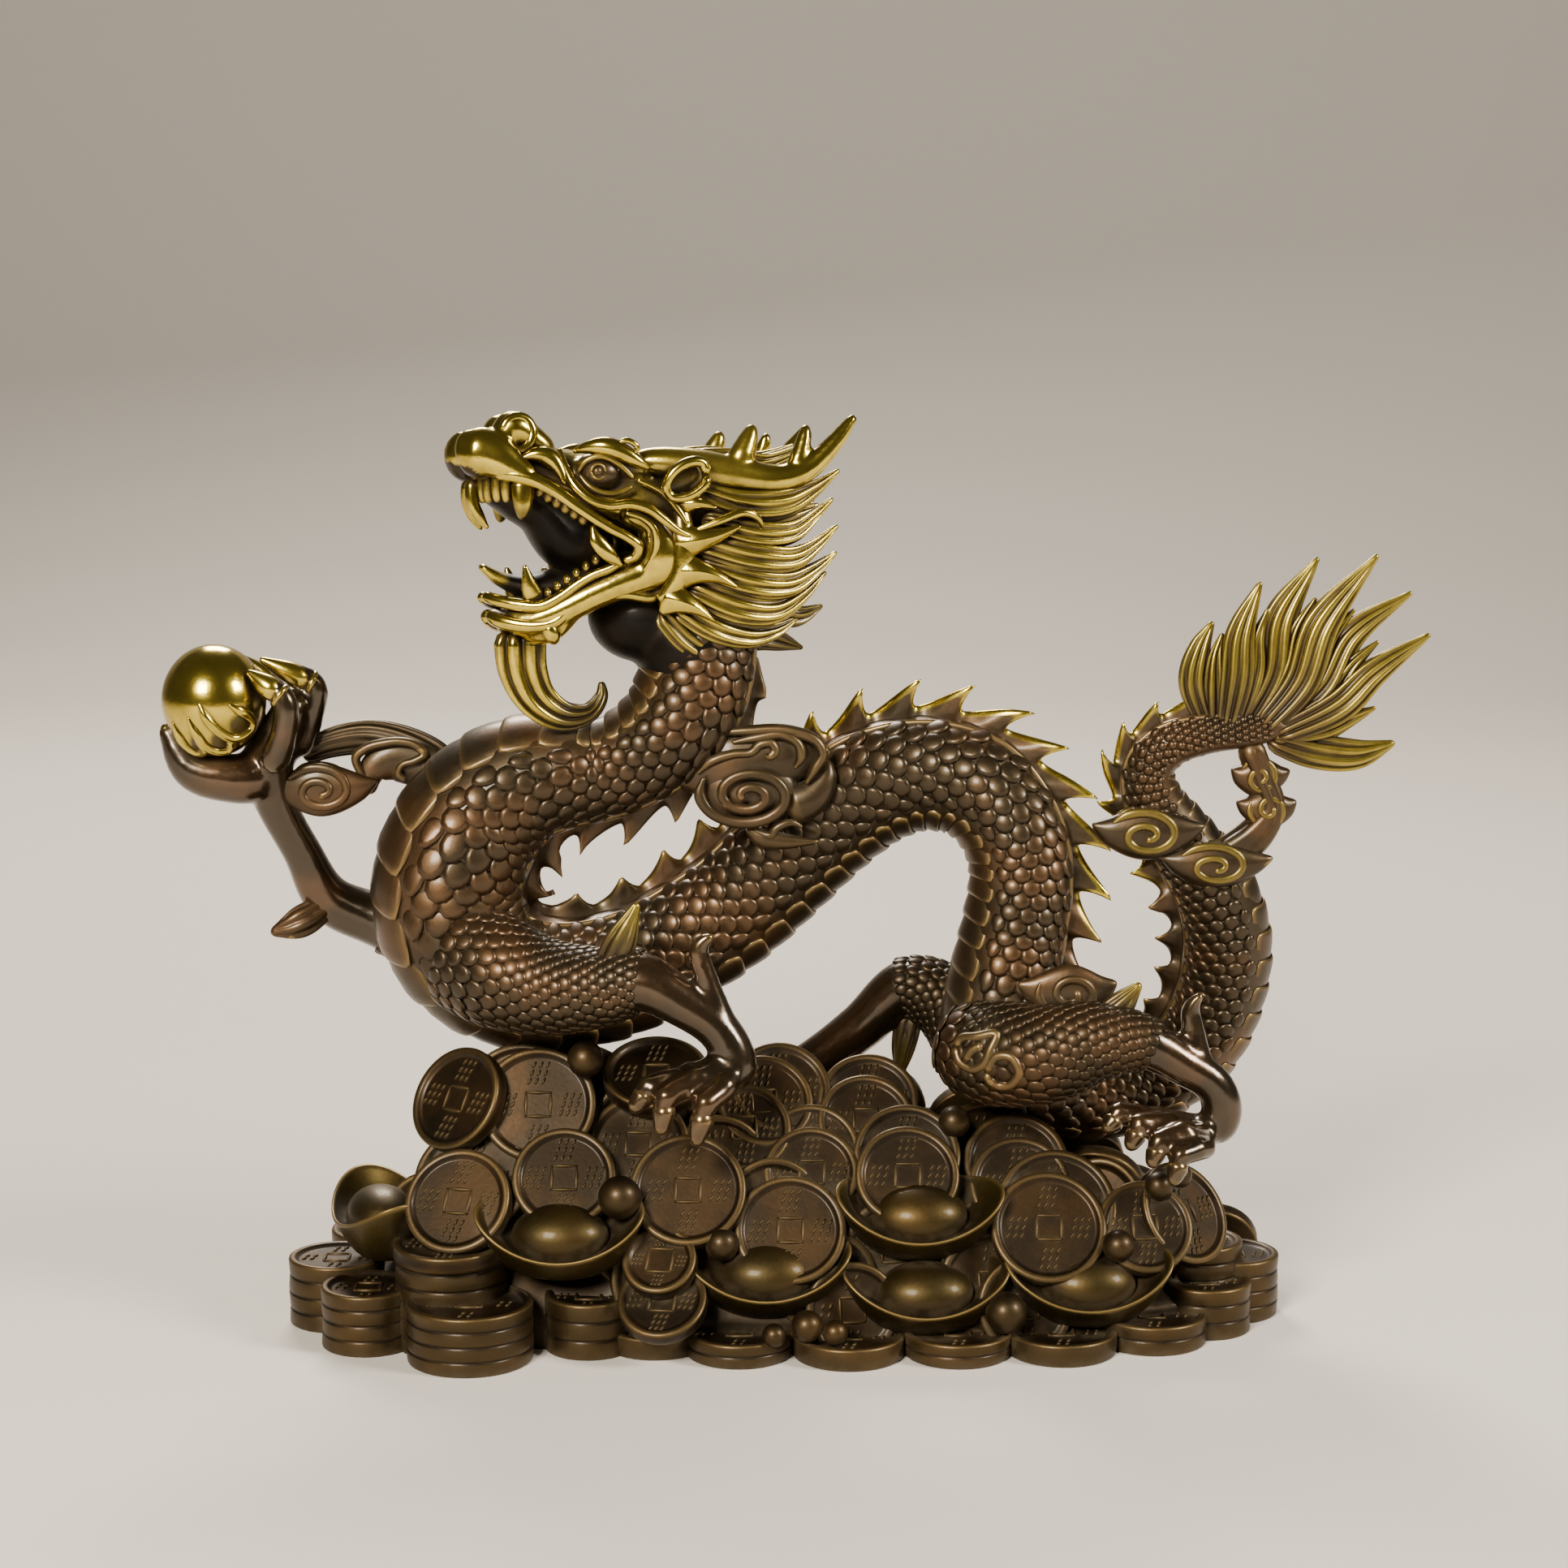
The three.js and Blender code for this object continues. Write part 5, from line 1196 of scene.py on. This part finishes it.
def head_gilt(points):
    """Gilding of the head: thin about the eye and temple, none in the mouth and on the throat."""
    forward, up, out = to_head(points)
    gilt = 0.12 + 0.88 * smoothstep(0.7, 1.15, from_spot(forward, up, EYE_SOCKET))
    gilt *= 0.5 + 0.5 * smoothstep(0.5, 1.3, from_spot(forward, up, TEMPLE))
    # Gilding is taken out inside the mouth, so that it is dark there as painted shade
    roof = 7.5 + 0.3 * (forward - 20)
    in_mouth = (forward > -4) & (up < roof) & (up > -13) & (np.abs(out) < 8.2)
    gilt[in_mouth] = 0
    # The gilding ends along a line that drops from the throat to the chin
    gilt *= smoothstep(-22, -12, up + 0.9 * np.clip(forward, 0, 30))
    # The back of the skull, between the locks, keeps its wash
    gilt *= 0.1 + 0.9 * smoothstep(-15, -7, forward)
    return gilt


class DRAGON_OT_head(bpy.types.Operator):
    """The skull, jaw and cheeks as one skin, and the throat as another"""

    bl_idname = "dragon.head"
    bl_label = "Head"

    def execute(self, context):
        cast = Casting()
        head_bar(cast, SKULL, 32, 60)
        for rows in HEAD_MASSES:
            both_sides(cast, rows, 20, 36)
        ball(cast, *NAPE)
        mesh = fused(cast, sizes().skin_voxel, 6, head_gilt)
        on_dragon("head_core", mesh, "Burnished gilt brass")

        # The throat is coloured nearly black as painted shade, with a dull shine
        throat = Casting()
        for centre, half in THROAT:
            ball(throat, centre, half, 32, 24)
        mesh = fused(throat, sizes().limb_voxel, 5, lambda points: 0.0)
        on_dragon("throat", mesh, "Painted shade dark cast brass")
        return {"FINISHED"}


class DRAGON_OT_features(bpy.types.Operator):
    """Lips, whiskers, brows, lids, nostrils and ears"""

    bl_idname = "dragon.features"
    bl_label = "Head features"

    def execute(self, context):
        cast = Casting()
        both_sides(cast, ROLLED_LIP, 18, 80, gilt=1.0)
        both_sides(cast, NOSTRIL_RING, 14, 60, gilt=1.0)
        both_sides(cast, EAR_RING, 14, 60, gilt=1.0)
        for name, rows in HEAD_STROKES.items():
            both_sides(cast, rows, 14, 42, gilt=0.4 if "lid" in name else 1.0)
        both_sides(cast, EAR_CUP, 20, 20, gilt=0.5)
        both_sides(cast, NOSTRIL_HOLE, 16, 16)
        on_dragon("head_features", cast, "Burnished gilt brass")

        eyes = Casting()
        forward, up, out = EYE
        iris = forward + IRIS_SHIFT[0], up + IRIS_SHIFT[1]
        for side in (1, -1):
            ball(eyes, in_head([forward, up, out * side]), EYE_HALF, 32, 20, turn=HEAD_YAW)
            ring = []
            for i in range(9):
                angle = 2 * math.pi * i / 8
                ahead, higher = IRIS_RADIUS * math.cos(angle), IRIS_RADIUS * math.sin(angle)
                ring.append([iris[0] + ahead, iris[1] + higher, (out + 2.9) * side, 0.28])
            head_bar(eyes, ring, 8, 48, gilt=0.25)
            pupil = in_head([*iris, (out + 2.5) * side])
            ball(eyes, pupil, (1, 0.8, 1), 16, 10, turn=HEAD_YAW)
        on_dragon("eyes", eyes, "Burnished gilt brass")
        return {"FINISHED"}


class DRAGON_OT_mouth(bpy.types.Operator):
    """Teeth and tongue"""

    bl_idname = "dragon.mouth"
    bl_label = "Mouth"

    def execute(self, context):
        teeth = Casting()
        for side in (1, -1):
            for forward, up, out in INCISORS:
                rows = [[forward, up + 1, out * side, 1.15, 1.1],
                        [forward, up - INCISOR_DROP * 0.6, out * side, 1.1, 1],
                        [forward - 0.2, up - INCISOR_DROP, out * side, 0.8, 0.7]]
                head_bar(teeth, rows, 14, 16, gilt=0.85)
            for start, end, gilded, half in MOLARS:
                for i in range(MOLAR_COUNT):
                    forward, up, out = (a + (b - a) * i / (MOLAR_COUNT - 1) for a, b in zip(start, end))
                    ball(teeth, in_head([forward, up, out * side]), (half * 0.72, half, half), 12, 8,
                         gilt=gilded, turn=HEAD_YAW)

        def dark_tip(share):
            return 1 - 0.75 * smoothstep(0.55, 0.85, share)

        for name, rows in FANGS.items():
            both_sides(teeth, rows, 18, 30, gilt=dark_tip if name == "upper" else 1.0)
        on_dragon("teeth", teeth, "Burnished gilt brass")

        def groove(turn, share, size):
            return -0.45 * size * np.exp(-(((turn - math.pi / 2) / 0.22) ** 2))

        # The tongue and the roof of the mouth are coloured nearly black as painted shade
        tongue = Casting()
        head_bar(tongue, TONGUE, 40, 50, relief=groove, gilt=lambda share: smoothstep(0.82, 0.93, share))
        head_bar(tongue, MOUTH_ROOF, 32, 40)
        on_dragon("tongue", tongue, "Painted shade dark cast brass")
        return {"FINISHED"}


class DRAGON_OT_horns(bpy.types.Operator):
    """Antlers with two prongs each"""

    bl_idname = "dragon.horns"
    bl_label = "Horns"

    def execute(self, context):
        cast = Casting()
        for rows in HORNS:
            both_sides(cast, rows, 24, 60)

        def rubbed(points):
            return 0.6 + 0.4 * smoothstep(0, 16, np.abs(to_head(points)[0] + 9))

        mesh = fused(cast, sizes().horn_voxel, 5, rubbed)
        on_dragon("horns", mesh, "Burnished gilt brass")
        return {"FINISHED"}


class DRAGON_OT_mane(bpy.types.Operator):
    """The mane and the pointed frill behind the jaw"""

    bl_idname = "dragon.mane"
    bl_label = "Mane"

    def execute(self, context):
        cast = Casting()
        for index, (gilded, rows) in enumerate(MANE):
            ribs = strands(7, 0.55, twist=0.5 if index % 2 else 0.3)
            both_sides(cast, rows, 56, 34, relief=ribs, gilt=0.8 * gilded, wash=WASH)
        # Each broad lock is drawn as three abreast, the outer two a little lower
        ribs = strands(9, 0.42, 0.2, 0.06)
        for gilded, rows in MANE_MIDDLE:
            for aside in (-0.62, 0, 0.62):
                lock = [
                    [forward, up - 1.5 * abs(aside), aside * max(width, 6.5), height * 0.85, width * 0.46]
                    for forward, up, _, height, width in rows
                ]
                head_bar(cast, lock, 56, 36, relief=ribs, gilt=0.8 * gilded, wash=WASH)
        both_sides(cast, CROSSING_LOCK, 14, 48, gilt=1.0)
        on_dragon("mane", cast, "Burnished gilt brass")

        frill = Casting()
        for rows in FRILL:
            both_sides(frill, rows, 24, 28, gilt=1.0, edge=1.45)
        both_sides(frill, COLLAR, 16, 28, gilt=1.0)
        on_dragon("frill", frill, "Burnished gilt brass")
        return {"FINISHED"}


class DRAGON_OT_beard(bpy.types.Operator):
    """The ribbed beard, which hooks forward to a dark tip"""

    bl_idname = "dragon.beard"
    bl_label = "Beard"

    def execute(self, context):
        cast = Casting()
        ribs = strands(8, 0.55, 0.15, 0.2)
        head_bar(cast, BEARD, 96, 90, relief=ribs, wash=WASH,
                 gilt=lambda share: 1 - 0.9 * smoothstep(0.46, 0.64, share))
        on_dragon("beard", cast, "Burnished gilt brass")
        return {"FINISHED"}


# Clouds and flame


def spiral(centre, half, turns, start, turn, facing, ridge, eye=0.14):
    """Rows of a spiral ridge on one face of a scroll, from its rim in to the eye, a share of its size."""
    rows = []
    count = int(turns * 12)
    for i in range(count + 1):
        share = i / count
        angle = start + turn * share * turns * 2 * math.pi
        r = 1 - (1 - eye) * share**0.85
        bulge = half[1] * (0.45 + 0.4 * share) * facing
        rows.append([centre[0] + math.cos(angle) * half[0] * r, centre[1] + bulge,
                     centre[2] + math.sin(angle) * half[2] * r, ridge * (1.4 - 0.3 * share), ridge])
    rows[0][3:] = [ridge * 0.4, ridge * 0.5]
    rows[-1][3:] = [ridge * 1.6, ridge * 1.2]
    return rows


def scroll(cast, x, y, z, half_width, half_height, half, turn):
    """A smooth leaf of cloud, pointed at both ends, with a spiral ridge on each face."""
    leaf = [[x + side * turn * half_width, y, z + up * half_height, high * half_height, deep * half]
            for side, up, high, deep in SCROLL_LEAF]
    bar(cast, leaf, 32, 28)
    half_sizes = (half_width * 0.92, half, half_height * 0.92)
    for facing in (-1, 1):
        rows = spiral((x, y, z), half_sizes, 1.7, math.pi * 0.85, turn, facing, half_height * 0.13)
        bar(cast, rows, 14, 110, gilt=0.2 if x > GILT_FROM else 0)


class DRAGON_OT_clouds(bpy.types.Operator):
    """Smooth clouds with spiral ridges, and the leaves between them"""

    bl_idname = "dragon.clouds"
    bl_label = "Clouds"

    def execute(self, context):
        cast = Casting()
        for row in SCROLLS:
            scroll(cast, *row)
        bar(cast, LINK, 40, 40, relief=strands(5, 0.3, 0.3))
        for grooves, rows in LEAVES:
            bar(cast, rows, 56, 40, relief=strands(grooves * 2, 0.22, 0.2) if grooves else None)
        bar(cast, LEAF_EDGE, 12, 90)

        x, y, z = MAIN_SCROLL
        bar(cast, MAIN_PLATE, 40, 48)
        bar(cast, MAIN_LOBE, 32, 32)
        ball(cast, (x, y + 1.4, z), MAIN_CUSHION_HALF, 48, 32)
        for facing in (-1, 1):
            rows = spiral(MAIN_SCROLL, MAIN_SCROLL_HALF, 2.2, math.radians(150), 1, facing, 0.85, 0.1)
            bar(cast, rows, 16, 220)
        for line in MAIN_SCROLL_LINES:
            rows = [[x + right, y - 0.6, z + up, 1.1, 1.4] for right, up in line]
            rows[0][3:] = rows[-1][3:] = [0.4, 0.7]
            bar(cast, rows, 14, 60)
        for rows in MAIN_HOOKS:
            bar(cast, rows, 16, 30)

        # Each point of the thigh's lines is moved back to the nearest of many places on its near side
        leg = Line(NEAR_HINDLEG)
        along, turn = np.meshgrid(np.linspace(0, leg.length * 0.5, 160), np.linspace(0.3, 2.8, 80))
        skin, _ = on_surface(leg, along.ravel(), turn.ravel())
        for line in THIGH_LINES:
            nearest = [np.argmin(np.hypot(skin[:, 0] - right, skin[:, 2] - up)) for right, up in line]
            bar(cast, [[*skin[i], 1.1] for i in nearest], 10, 70)
        on_dragon("clouds", cast)
        return {"FINISHED"}


class DRAGON_OT_flame(bpy.types.Operator):
    """The tail flame: seven tongues of ribbed strands, and shorter ones between"""

    bl_idname = "dragon.flame"
    bl_label = "Tail flame"

    def execute(self, context):
        cast = Casting()

        def shine(share):
            return 0.08 + 0.42 * smoothstep(0.1, 0.65, share)

        ribs = strands(8, 0.55, 0.12, 0.22)
        for rows in FLAME:
            bar(cast, rows, 60, 50, relief=ribs, gilt=shine, wash=WASH)
        ribs = strands(6, 0.55, 0.12, 0.3)
        for lower, upper in zip(FLAME[:-1], FLAME[1:]):
            below, above = (
                line.at(np.linspace(0, line.length * 0.74, len(BETWEEN_HALVES))).centre
                for line in (Line(lower), Line(upper))
            )
            rows = [[*p, half, half * 0.75] for p, half in zip((below + above) / 2, BETWEEN_HALVES)]
            bar(cast, rows, 46, 40, relief=ribs, gilt=shine, wash=WASH)
        on_dragon("tail_flame", cast, "Burnished gilt brass")
        return {"FINISHED"}


# The heap


def crest(x):
    """The height of the heap along its length."""
    left = smoothstep(-100, -66, x)
    right = 1 - 0.38 * smoothstep(-40, 96, x)
    return HEAP_END_HEIGHT + (HEAP_CREST - HEAP_END_HEIGHT) * left * right


def mound_point(angle, level):
    """A point of the mound at a level from 0, at its foot, to 1, at its crest."""
    squareness = 0.8
    climbed = (level - SKIRT_LEVEL) / (1 - SKIRT_LEVEL)
    scale = 1 - 0.62 * np.clip(climbed, 0, 1)
    x = powered(np.cos(angle), squareness) * (HEAP_LENGTH / 2) * scale
    y = HEAP_MIDDLE + powered(np.sin(angle), squareness) * (HEAP_DEPTH / 2) * scale
    skirt = level / SKIRT_LEVEL * SKIRT_HEIGHT
    z = np.where(level < SKIRT_LEVEL, skirt, SKIRT_HEIGHT + (crest(x) - SKIRT_HEIGHT) * climbed)
    return np.stack([x, y, z], axis=-1)


def set_down(points, turn, lean, place):
    """Points tipped back by a lean from upright, turned about Z and moved to a place."""
    tip, spin = math.radians(90 - lean), math.radians(turn)
    x, y, z = points.T
    y, z = y * math.cos(tip) - z * math.sin(tip), y * math.sin(tip) + z * math.cos(tip)
    x, y = x * math.cos(spin) - y * math.sin(spin), x * math.sin(spin) + y * math.cos(spin)
    return np.stack([x, y, z], axis=1) + np.array(place)


def coin_profile(radius):
    """Radius and height from the middle of a coin's face, over its rim, to the middle of its back."""
    rim, recess = heap_sizes().coin_rim / MM, heap_sizes().coin_recess / MM
    inner = radius - rim
    return [
        (0, -recess), (inner - 0.9, -recess), (inner - 0.5, -recess), (inner - 0.1, -0.25), (inner + 0.3, 0),
        (radius - 0.5, 0), (radius - 0.12, -0.2), (radius, -0.6), (radius - 0.05, -1.7), (radius, -2.8),
        (radius - 0.15, -COIN_THICKNESS + 0.15), (radius - 0.6, -COIN_THICKNESS), (0, -COIN_THICKNESS),
    ]


def turned(cast, profile, around, place):
    """A closed shape turned from a profile of radius and height, then put in its place."""
    form = shell(around, len(profile) - 1)
    radius, height = np.array(profile, float)[form.row].T
    points = np.stack([np.cos(form.turn) * radius, np.sin(form.turn) * radius, height], axis=1)
    cast.add(form.mesh, place(points))


# Rows of parallel strokes on a coin's face: across, up and slant
FULL_ROWS = [(x + 0.25 * up, up, 1.1) for up in (1.6, 0, -1.6) for x in (-1.3, 0, 1.3)]
PLAIN_ROWS = [(x + 0.25 * up, up, 1.1) for up in (0.9, -0.9) for x in (-0.8, 0.8)]


def coin_face(cast, radius, place, rows=PLAIN_ROWS):
    """The square frame, and four groups of short parallel strokes where a real coin has writing."""
    half = heap_sizes().square / MM / 2
    level = -heap_sizes().coin_recess / MM
    form = shell(6, 4)

    def stroke(x, y, angle, length, wide, high):
        c, s = math.cos(angle), math.sin(angle)
        u, v, w = form.unit.T
        along, out = powered(u, 0.6) * length, v * wide
        points = [x + along * c - out * s, y + along * s + out * c, level + w * high]
        cast.add(form.mesh, place(np.stack(points, axis=1)))

    # The groups lie halfway between the frame and the rim, and shrink with the room between them
    inner = radius - 1.6
    middle = (half + inner) / 2 + 0.2
    grown = min(1.08, (inner - half) / 5.6)
    for quarter in range(4):
        angle = quarter * math.pi / 2
        right, up = math.cos(angle), math.sin(angle)
        stroke(half * right, half * up, angle + math.pi / 2, half + 0.4, 0.45, 0.5)
        for across, above, slant in rows:
            x, y = middle * right + across * grown, middle * up + above * grown
            stroke(x, y, slant, 0.8 * grown, 0.34, 0.42)


def taken(place):
    """Whether a larger coin, an ingot or a stack already lies at this place."""
    x, y, z = place
    for coin in [*FACING_COINS, *LEANING_COINS]:
        if np.linalg.norm(place - np.array(coin[:3])) < COIN_CLEARANCE:
            return True
    for ingot in INGOTS:
        near = from_spot(x, z, (ingot[0], ingot[2], *INGOT_CLEARANCE)) < 1
        if near and y * ingot[1] > 0:
            return True
    return any(math.hypot(x - row[0], y - row[1]) < row[3] and z < row[2] + 3 for row in STACKS)


class DRAGON_OT_mound(bpy.types.Operator):
    """The mound that the treasure lies on, with a wavy foot and half buried coins"""

    bl_idname = "dragon.mound"
    bl_label = "Mound"

    def execute(self, context):
        cast = Casting()
        form = shell(160, 70)
        # The first rows of the shell run from the crest to the foot, and the rest across the underside
        share = form.row / form.rows
        level = np.clip(1 - share / OVER_SHARE, 0, 1)
        inward = np.clip((1 - share) / (1 - OVER_SHARE), 0, 1)
        middle = [0, HEAP_MIDDLE]
        points = mound_point(form.turn, level)
        points[level > 0.999, :2] = middle
        wavy = 1 + 0.018 * np.cos(form.turn * 9) * (1 - level) ** 4
        points[:, :2] = middle + (points[:, :2] - middle) * (wavy * inward)[:, None]
        x, y, z = points.T
        lumps = 0.6 * np.sin(x * 0.55) * np.sin(y * 0.7 + 1) * np.sin(z * 0.6) * (level > 0.05)
        points[:, 2] = np.where(share < OVER_SHARE, np.maximum(z + lumps, 0), 0)
        cast.add(form.mesh, points)
        on_heap("mound", cast, "Unrubbed dusty cast brass")

        tiles, marks = Casting(), Casting()
        random = np.random.default_rng(7)
        turns = np.linspace(0, 2 * math.pi, 721)
        for ring, (level, count, radius) in enumerate(COIN_RINGS):
            run = walked(mound_point(turns, np.full(len(turns), level)))
            for i in range(count):
                share = (i + 0.5 * (ring % 2) + random.uniform(-0.12, 0.12)) / count % 1
                angle = float(np.interp(share * run[-1], run, turns))
                here, beside, above = (
                    mound_point(np.array(angle + turn), np.array(level + rise))
                    for turn, rise in ((0, 0), (0.02, 0), (0, 0.04))
                )
                around, climb = beside - here, above - here
                out = unit(np.cross(around, climb))
                place = here + out * random.uniform(1.4, 1.9)
                # Each coin stands steeper than the slope and a little sideways, so that it laps over the
                # next. Those on one side of the mound face nearly the same way, or their rims would cross
                raw = math.degrees(math.atan2(around[1], around[0]))
                half_turn = round(raw / 180) * 180
                aside = raw - half_turn
                square_on = half_turn if abs(aside) < 64 else half_turn + math.copysign(90, aside)
                turn = square_on + 0.35 * (raw - square_on) + random.uniform(8, 11)
                slope = math.degrees(math.atan2(math.hypot(climb[0], climb[1]), climb[2]))
                lean = min(max(9 + 0.3 * (slope - random.uniform(16, 19)), 8), 30)
                size = radius + random.uniform(-0.5, 0.5)
                if taken(place):
                    continue

                # A coin that would stand out of the heap's back or through the floor is moved in
                rim = np.stack([np.cos(turns) * size, np.sin(turns) * size, 0 * turns], axis=1)
                low, high = (edge(set_down(rim, turn, lean, place), axis=0) for edge in (np.min, np.max))
                place = place - [0, max(0, high[1] - HEAP_BACK + 0.1), min(0, low[2])]

                def lay(points):
                    laid = set_down(points, turn, lean, place)
                    laid[:, 2] = np.maximum(laid[:, 2], 0)
                    return laid

                turned(tiles, coin_profile(size), 36, lay)
                coin_face(marks, size, lay)
        on_heap("mound_coins", tiles)
        on_heap("mound_coin_marks", marks, "Unrubbed dusty cast brass")
        return {"FINISHED"}


class DRAGON_OT_coins(bpy.types.Operator):
    """Round coins with a rim, a square frame and rows of dashes"""

    bl_idname = "dragon.coins"
    bl_label = "Coins"

    def execute(self, context):
        cast, marks = Casting(), Casting()
        for x, y, z, radius, turn, lean in [*FACING_COINS, *LEANING_COINS]:

            def place(points):
                return set_down(points, turn, lean, (x, y, z))

            turned(cast, coin_profile(radius), 64, place)
            coin_face(marks, radius, place, FULL_ROWS)
        on_heap("coins", cast)
        on_heap("coin_marks", marks, "Unrubbed dusty cast brass")
        return {"FINISHED"}


class DRAGON_OT_stacks(bpy.types.Operator):
    """Stacks of coins, with a groove between one coin and the next"""

    bl_idname = "dragon.stacks"
    bl_label = "Coin stacks"

    def execute(self, context):
        cast, marks = Casting(), Casting()
        layer = heap_sizes().layer / MM
        for x, y, top, radius in STACKS:
            # The face and rim of the top coin, then the edge of each coin with the groove under it
            profile = coin_profile(radius)[:8]
            coins = max(1, round(top / layer))
            for i in range(coins):
                low = -top * (i + 1) / coins
                wide = radius - 0.1 + 0.1 * math.sin(2.4 * i + x)
                profile += [(wide, low + 0.5), (wide - 0.1, low + 0.2), (wide - 0.32, low + 0.05)]
                if i < coins - 1:
                    profile += [(wide - 0.1, low - 0.15), (wide, low - 0.45)]
            profile += [(0, -top)]

            def place(points):
                return points + np.array([x, y, top])

            turned(cast, profile, 48, place)
            coin_face(marks, radius, place)
        on_heap("coin_stacks", cast)
        on_heap("stack_marks", marks, "Unrubbed dusty cast brass")
        return {"FINISHED"}


class DRAGON_OT_ingots(bpy.types.Operator):
    """Boat shaped ingots with a dome in the middle, and small pearls"""

    bl_idname = "dragon.ingots"
    bl_label = "Ingots"

    def execute(self, context):
        cast = Casting()
        form = shell(64, len(INGOT_SECTION) - 1)
        radius, height = np.array(INGOT_SECTION)[form.row].T
        right, front = np.cos(form.turn) * radius, np.sin(form.turn) * radius
        horn = INGOT_HORN_RISE * right**2 * np.clip((height + INGOT_HEIGHT) / INGOT_HEIGHT, 0, 1)
        boat = np.stack([right * INGOT_HALF_LENGTH, front * INGOT_HALF_DEPTH, height + horn], axis=1)
        dome = shell(32, 20)
        raised = dome.unit * np.array(DOME_HALF) + np.array(DOME_CENTRE)
        for x, y, z, turn, tilt in INGOTS:
            cast.add(form.mesh, set_down(boat, turn, 90 - tilt, (x, y, z)), 0.05)
            cast.add(dome.mesh, set_down(raised, turn, 90 - tilt, (x, y, z)), 0.03)
        on_heap("ingots", cast)

        pearls = Casting()
        for x, y, z, r in SMALL_PEARLS:
            ball(pearls, (x, y, z), (r, r, r), 24, 16)
        on_heap("small_pearls", pearls)
        return {"FINISHED"}


# The stage


class DRAGON_OT_stage(bpy.types.Operator):
    """A pale floor, soft lights and the camera"""

    bl_idname = "dragon.stage"
    bl_label = "Stage"

    def execute(self, context):
        paper = bpy.data.materials.new("Matt backdrop paper")
        paper.use_nodes = True
        shader = paper.node_tree.nodes["Principled BSDF"]
        shader.inputs["Base Color"].default_value = linear("#CFC8BE")
        shader.inputs["Roughness"].default_value = 0.9

        # In metres: the sheet runs level from in front of the camera, then bends up behind the dragon
        half_width, length, front, level, bend = 4, 5.2, -2.2, 3.2, 0.8
        bm = bmesh.new()
        bmesh.ops.create_grid(bm, x_segments=2, y_segments=40, size=1)
        for vertex in bm.verts:
            run = (vertex.co.y + 1) / 2 * length
            angle = min(max(run - level, 0) / bend, math.pi / 2)
            rise = max(run - level - angle * bend, 0) + (1 - math.cos(angle)) * bend
            vertex.co = (vertex.co.x * half_width, front + min(run, level) + math.sin(angle) * bend, rise)
        for face in bm.faces:
            face.smooth = True
        bmesh.ops.recalc_face_normals(bm, faces=bm.faces)
        mesh = bpy.data.meshes.new("backdrop")
        bm.to_mesh(mesh)
        bm.free()
        mesh.materials.append(paper)
        backdrop = bpy.data.objects.new("backdrop", mesh)
        context.scene.collection.objects.link(backdrop)

        world = bpy.data.worlds.new("soft studio")
        context.scene.world = world
        world.use_nodes = True
        background = world.node_tree.nodes["Background"]
        background.inputs["Color"].default_value = linear("#D9D2C6")
        background.inputs["Strength"].default_value = 0.12

        # Square lamps: place in metres, watts, width in metres and colour
        for name, place, power, width, colour in (
            ("key", (-0.42, -0.95, 0.66), 27, 0.34, "#FFF7EA"),
            ("side", (1.0, -0.42, 0.7), 21, 0.32, "#FFFAF2"),
            ("back", (-0.2, 0.9, 0.9), 18, 0.4, "#FFF6EA"),
        ):
            lamp = bpy.data.lights.new(name, "AREA")
            lamp.energy = power
            lamp.size = width
            lamp.color = linear(colour)[:3]
            holder = bpy.data.objects.new(name, lamp)
            holder.location = place
            aim = Vector((0, 0, 0.1)) - Vector(place)
            holder.rotation_euler = aim.to_track_quat("-Z", "Y").to_euler()
            context.scene.collection.objects.link(holder)

        camera = bpy.data.cameras.new("camera")
        camera.angle = CAMERA_VIEW
        holder = bpy.data.objects.new("camera", camera)
        holder.location = CAMERA_PLACE
        holder.rotation_euler = (math.pi / 2 - CAMERA_DOWN, 0, 0)
        context.scene.collection.objects.link(holder)
        context.scene.camera = holder
        return {"FINISHED"}


class DRAGON_PT_panel(bpy.types.Panel):
    """Lists the steps that build the dragon"""

    bl_label = "Brass dragon"
    bl_idname = "DRAGON_PT_panel"
    bl_space_type = "VIEW_3D"
    bl_region_type = "UI"
    bl_category = "Dragon"

    def draw(self, context):
        scene = context.scene
        for group in (scene.dragon_sizes, scene.heap_sizes, scene.finishes):
            box = self.layout.box()
            for name in group.__annotations__:
                box.prop(group, name)
        for step in STEPS:
            self.layout.operator(step.bl_idname)


STEPS = (
    DRAGON_OT_stage, DRAGON_OT_skin, DRAGON_OT_scales, DRAGON_OT_belly, DRAGON_OT_fin, DRAGON_OT_limbs,
    DRAGON_OT_leg_scales, DRAGON_OT_tufts, DRAGON_OT_pearl, DRAGON_OT_head, DRAGON_OT_features,
    DRAGON_OT_mouth, DRAGON_OT_horns, DRAGON_OT_mane, DRAGON_OT_beard, DRAGON_OT_clouds, DRAGON_OT_flame,
    DRAGON_OT_mound, DRAGON_OT_coins, DRAGON_OT_stacks, DRAGON_OT_ingots,
)
CLASSES = (DragonSizes, HeapSizes, Finishes, *STEPS, DRAGON_PT_panel)


def register():
    for each in CLASSES:
        bpy.utils.register_class(each)
    bpy.types.Scene.dragon_sizes = PointerProperty(type=DragonSizes)
    bpy.types.Scene.heap_sizes = PointerProperty(type=HeapSizes)
    bpy.types.Scene.finishes = PointerProperty(type=Finishes)


def unregister():
    del bpy.types.Scene.finishes
    del bpy.types.Scene.heap_sizes
    del bpy.types.Scene.dragon_sizes
    for each in reversed(CLASSES):
        bpy.utils.unregister_class(each)


def main():
    register()
    make_materials()
    for step in STEPS:
        getattr(bpy.ops.dragon, step.bl_idname.split(".")[1])()
    for form in SHELLS.values():
        bpy.data.meshes.remove(form.mesh)


if __name__ == "__main__":
    main()
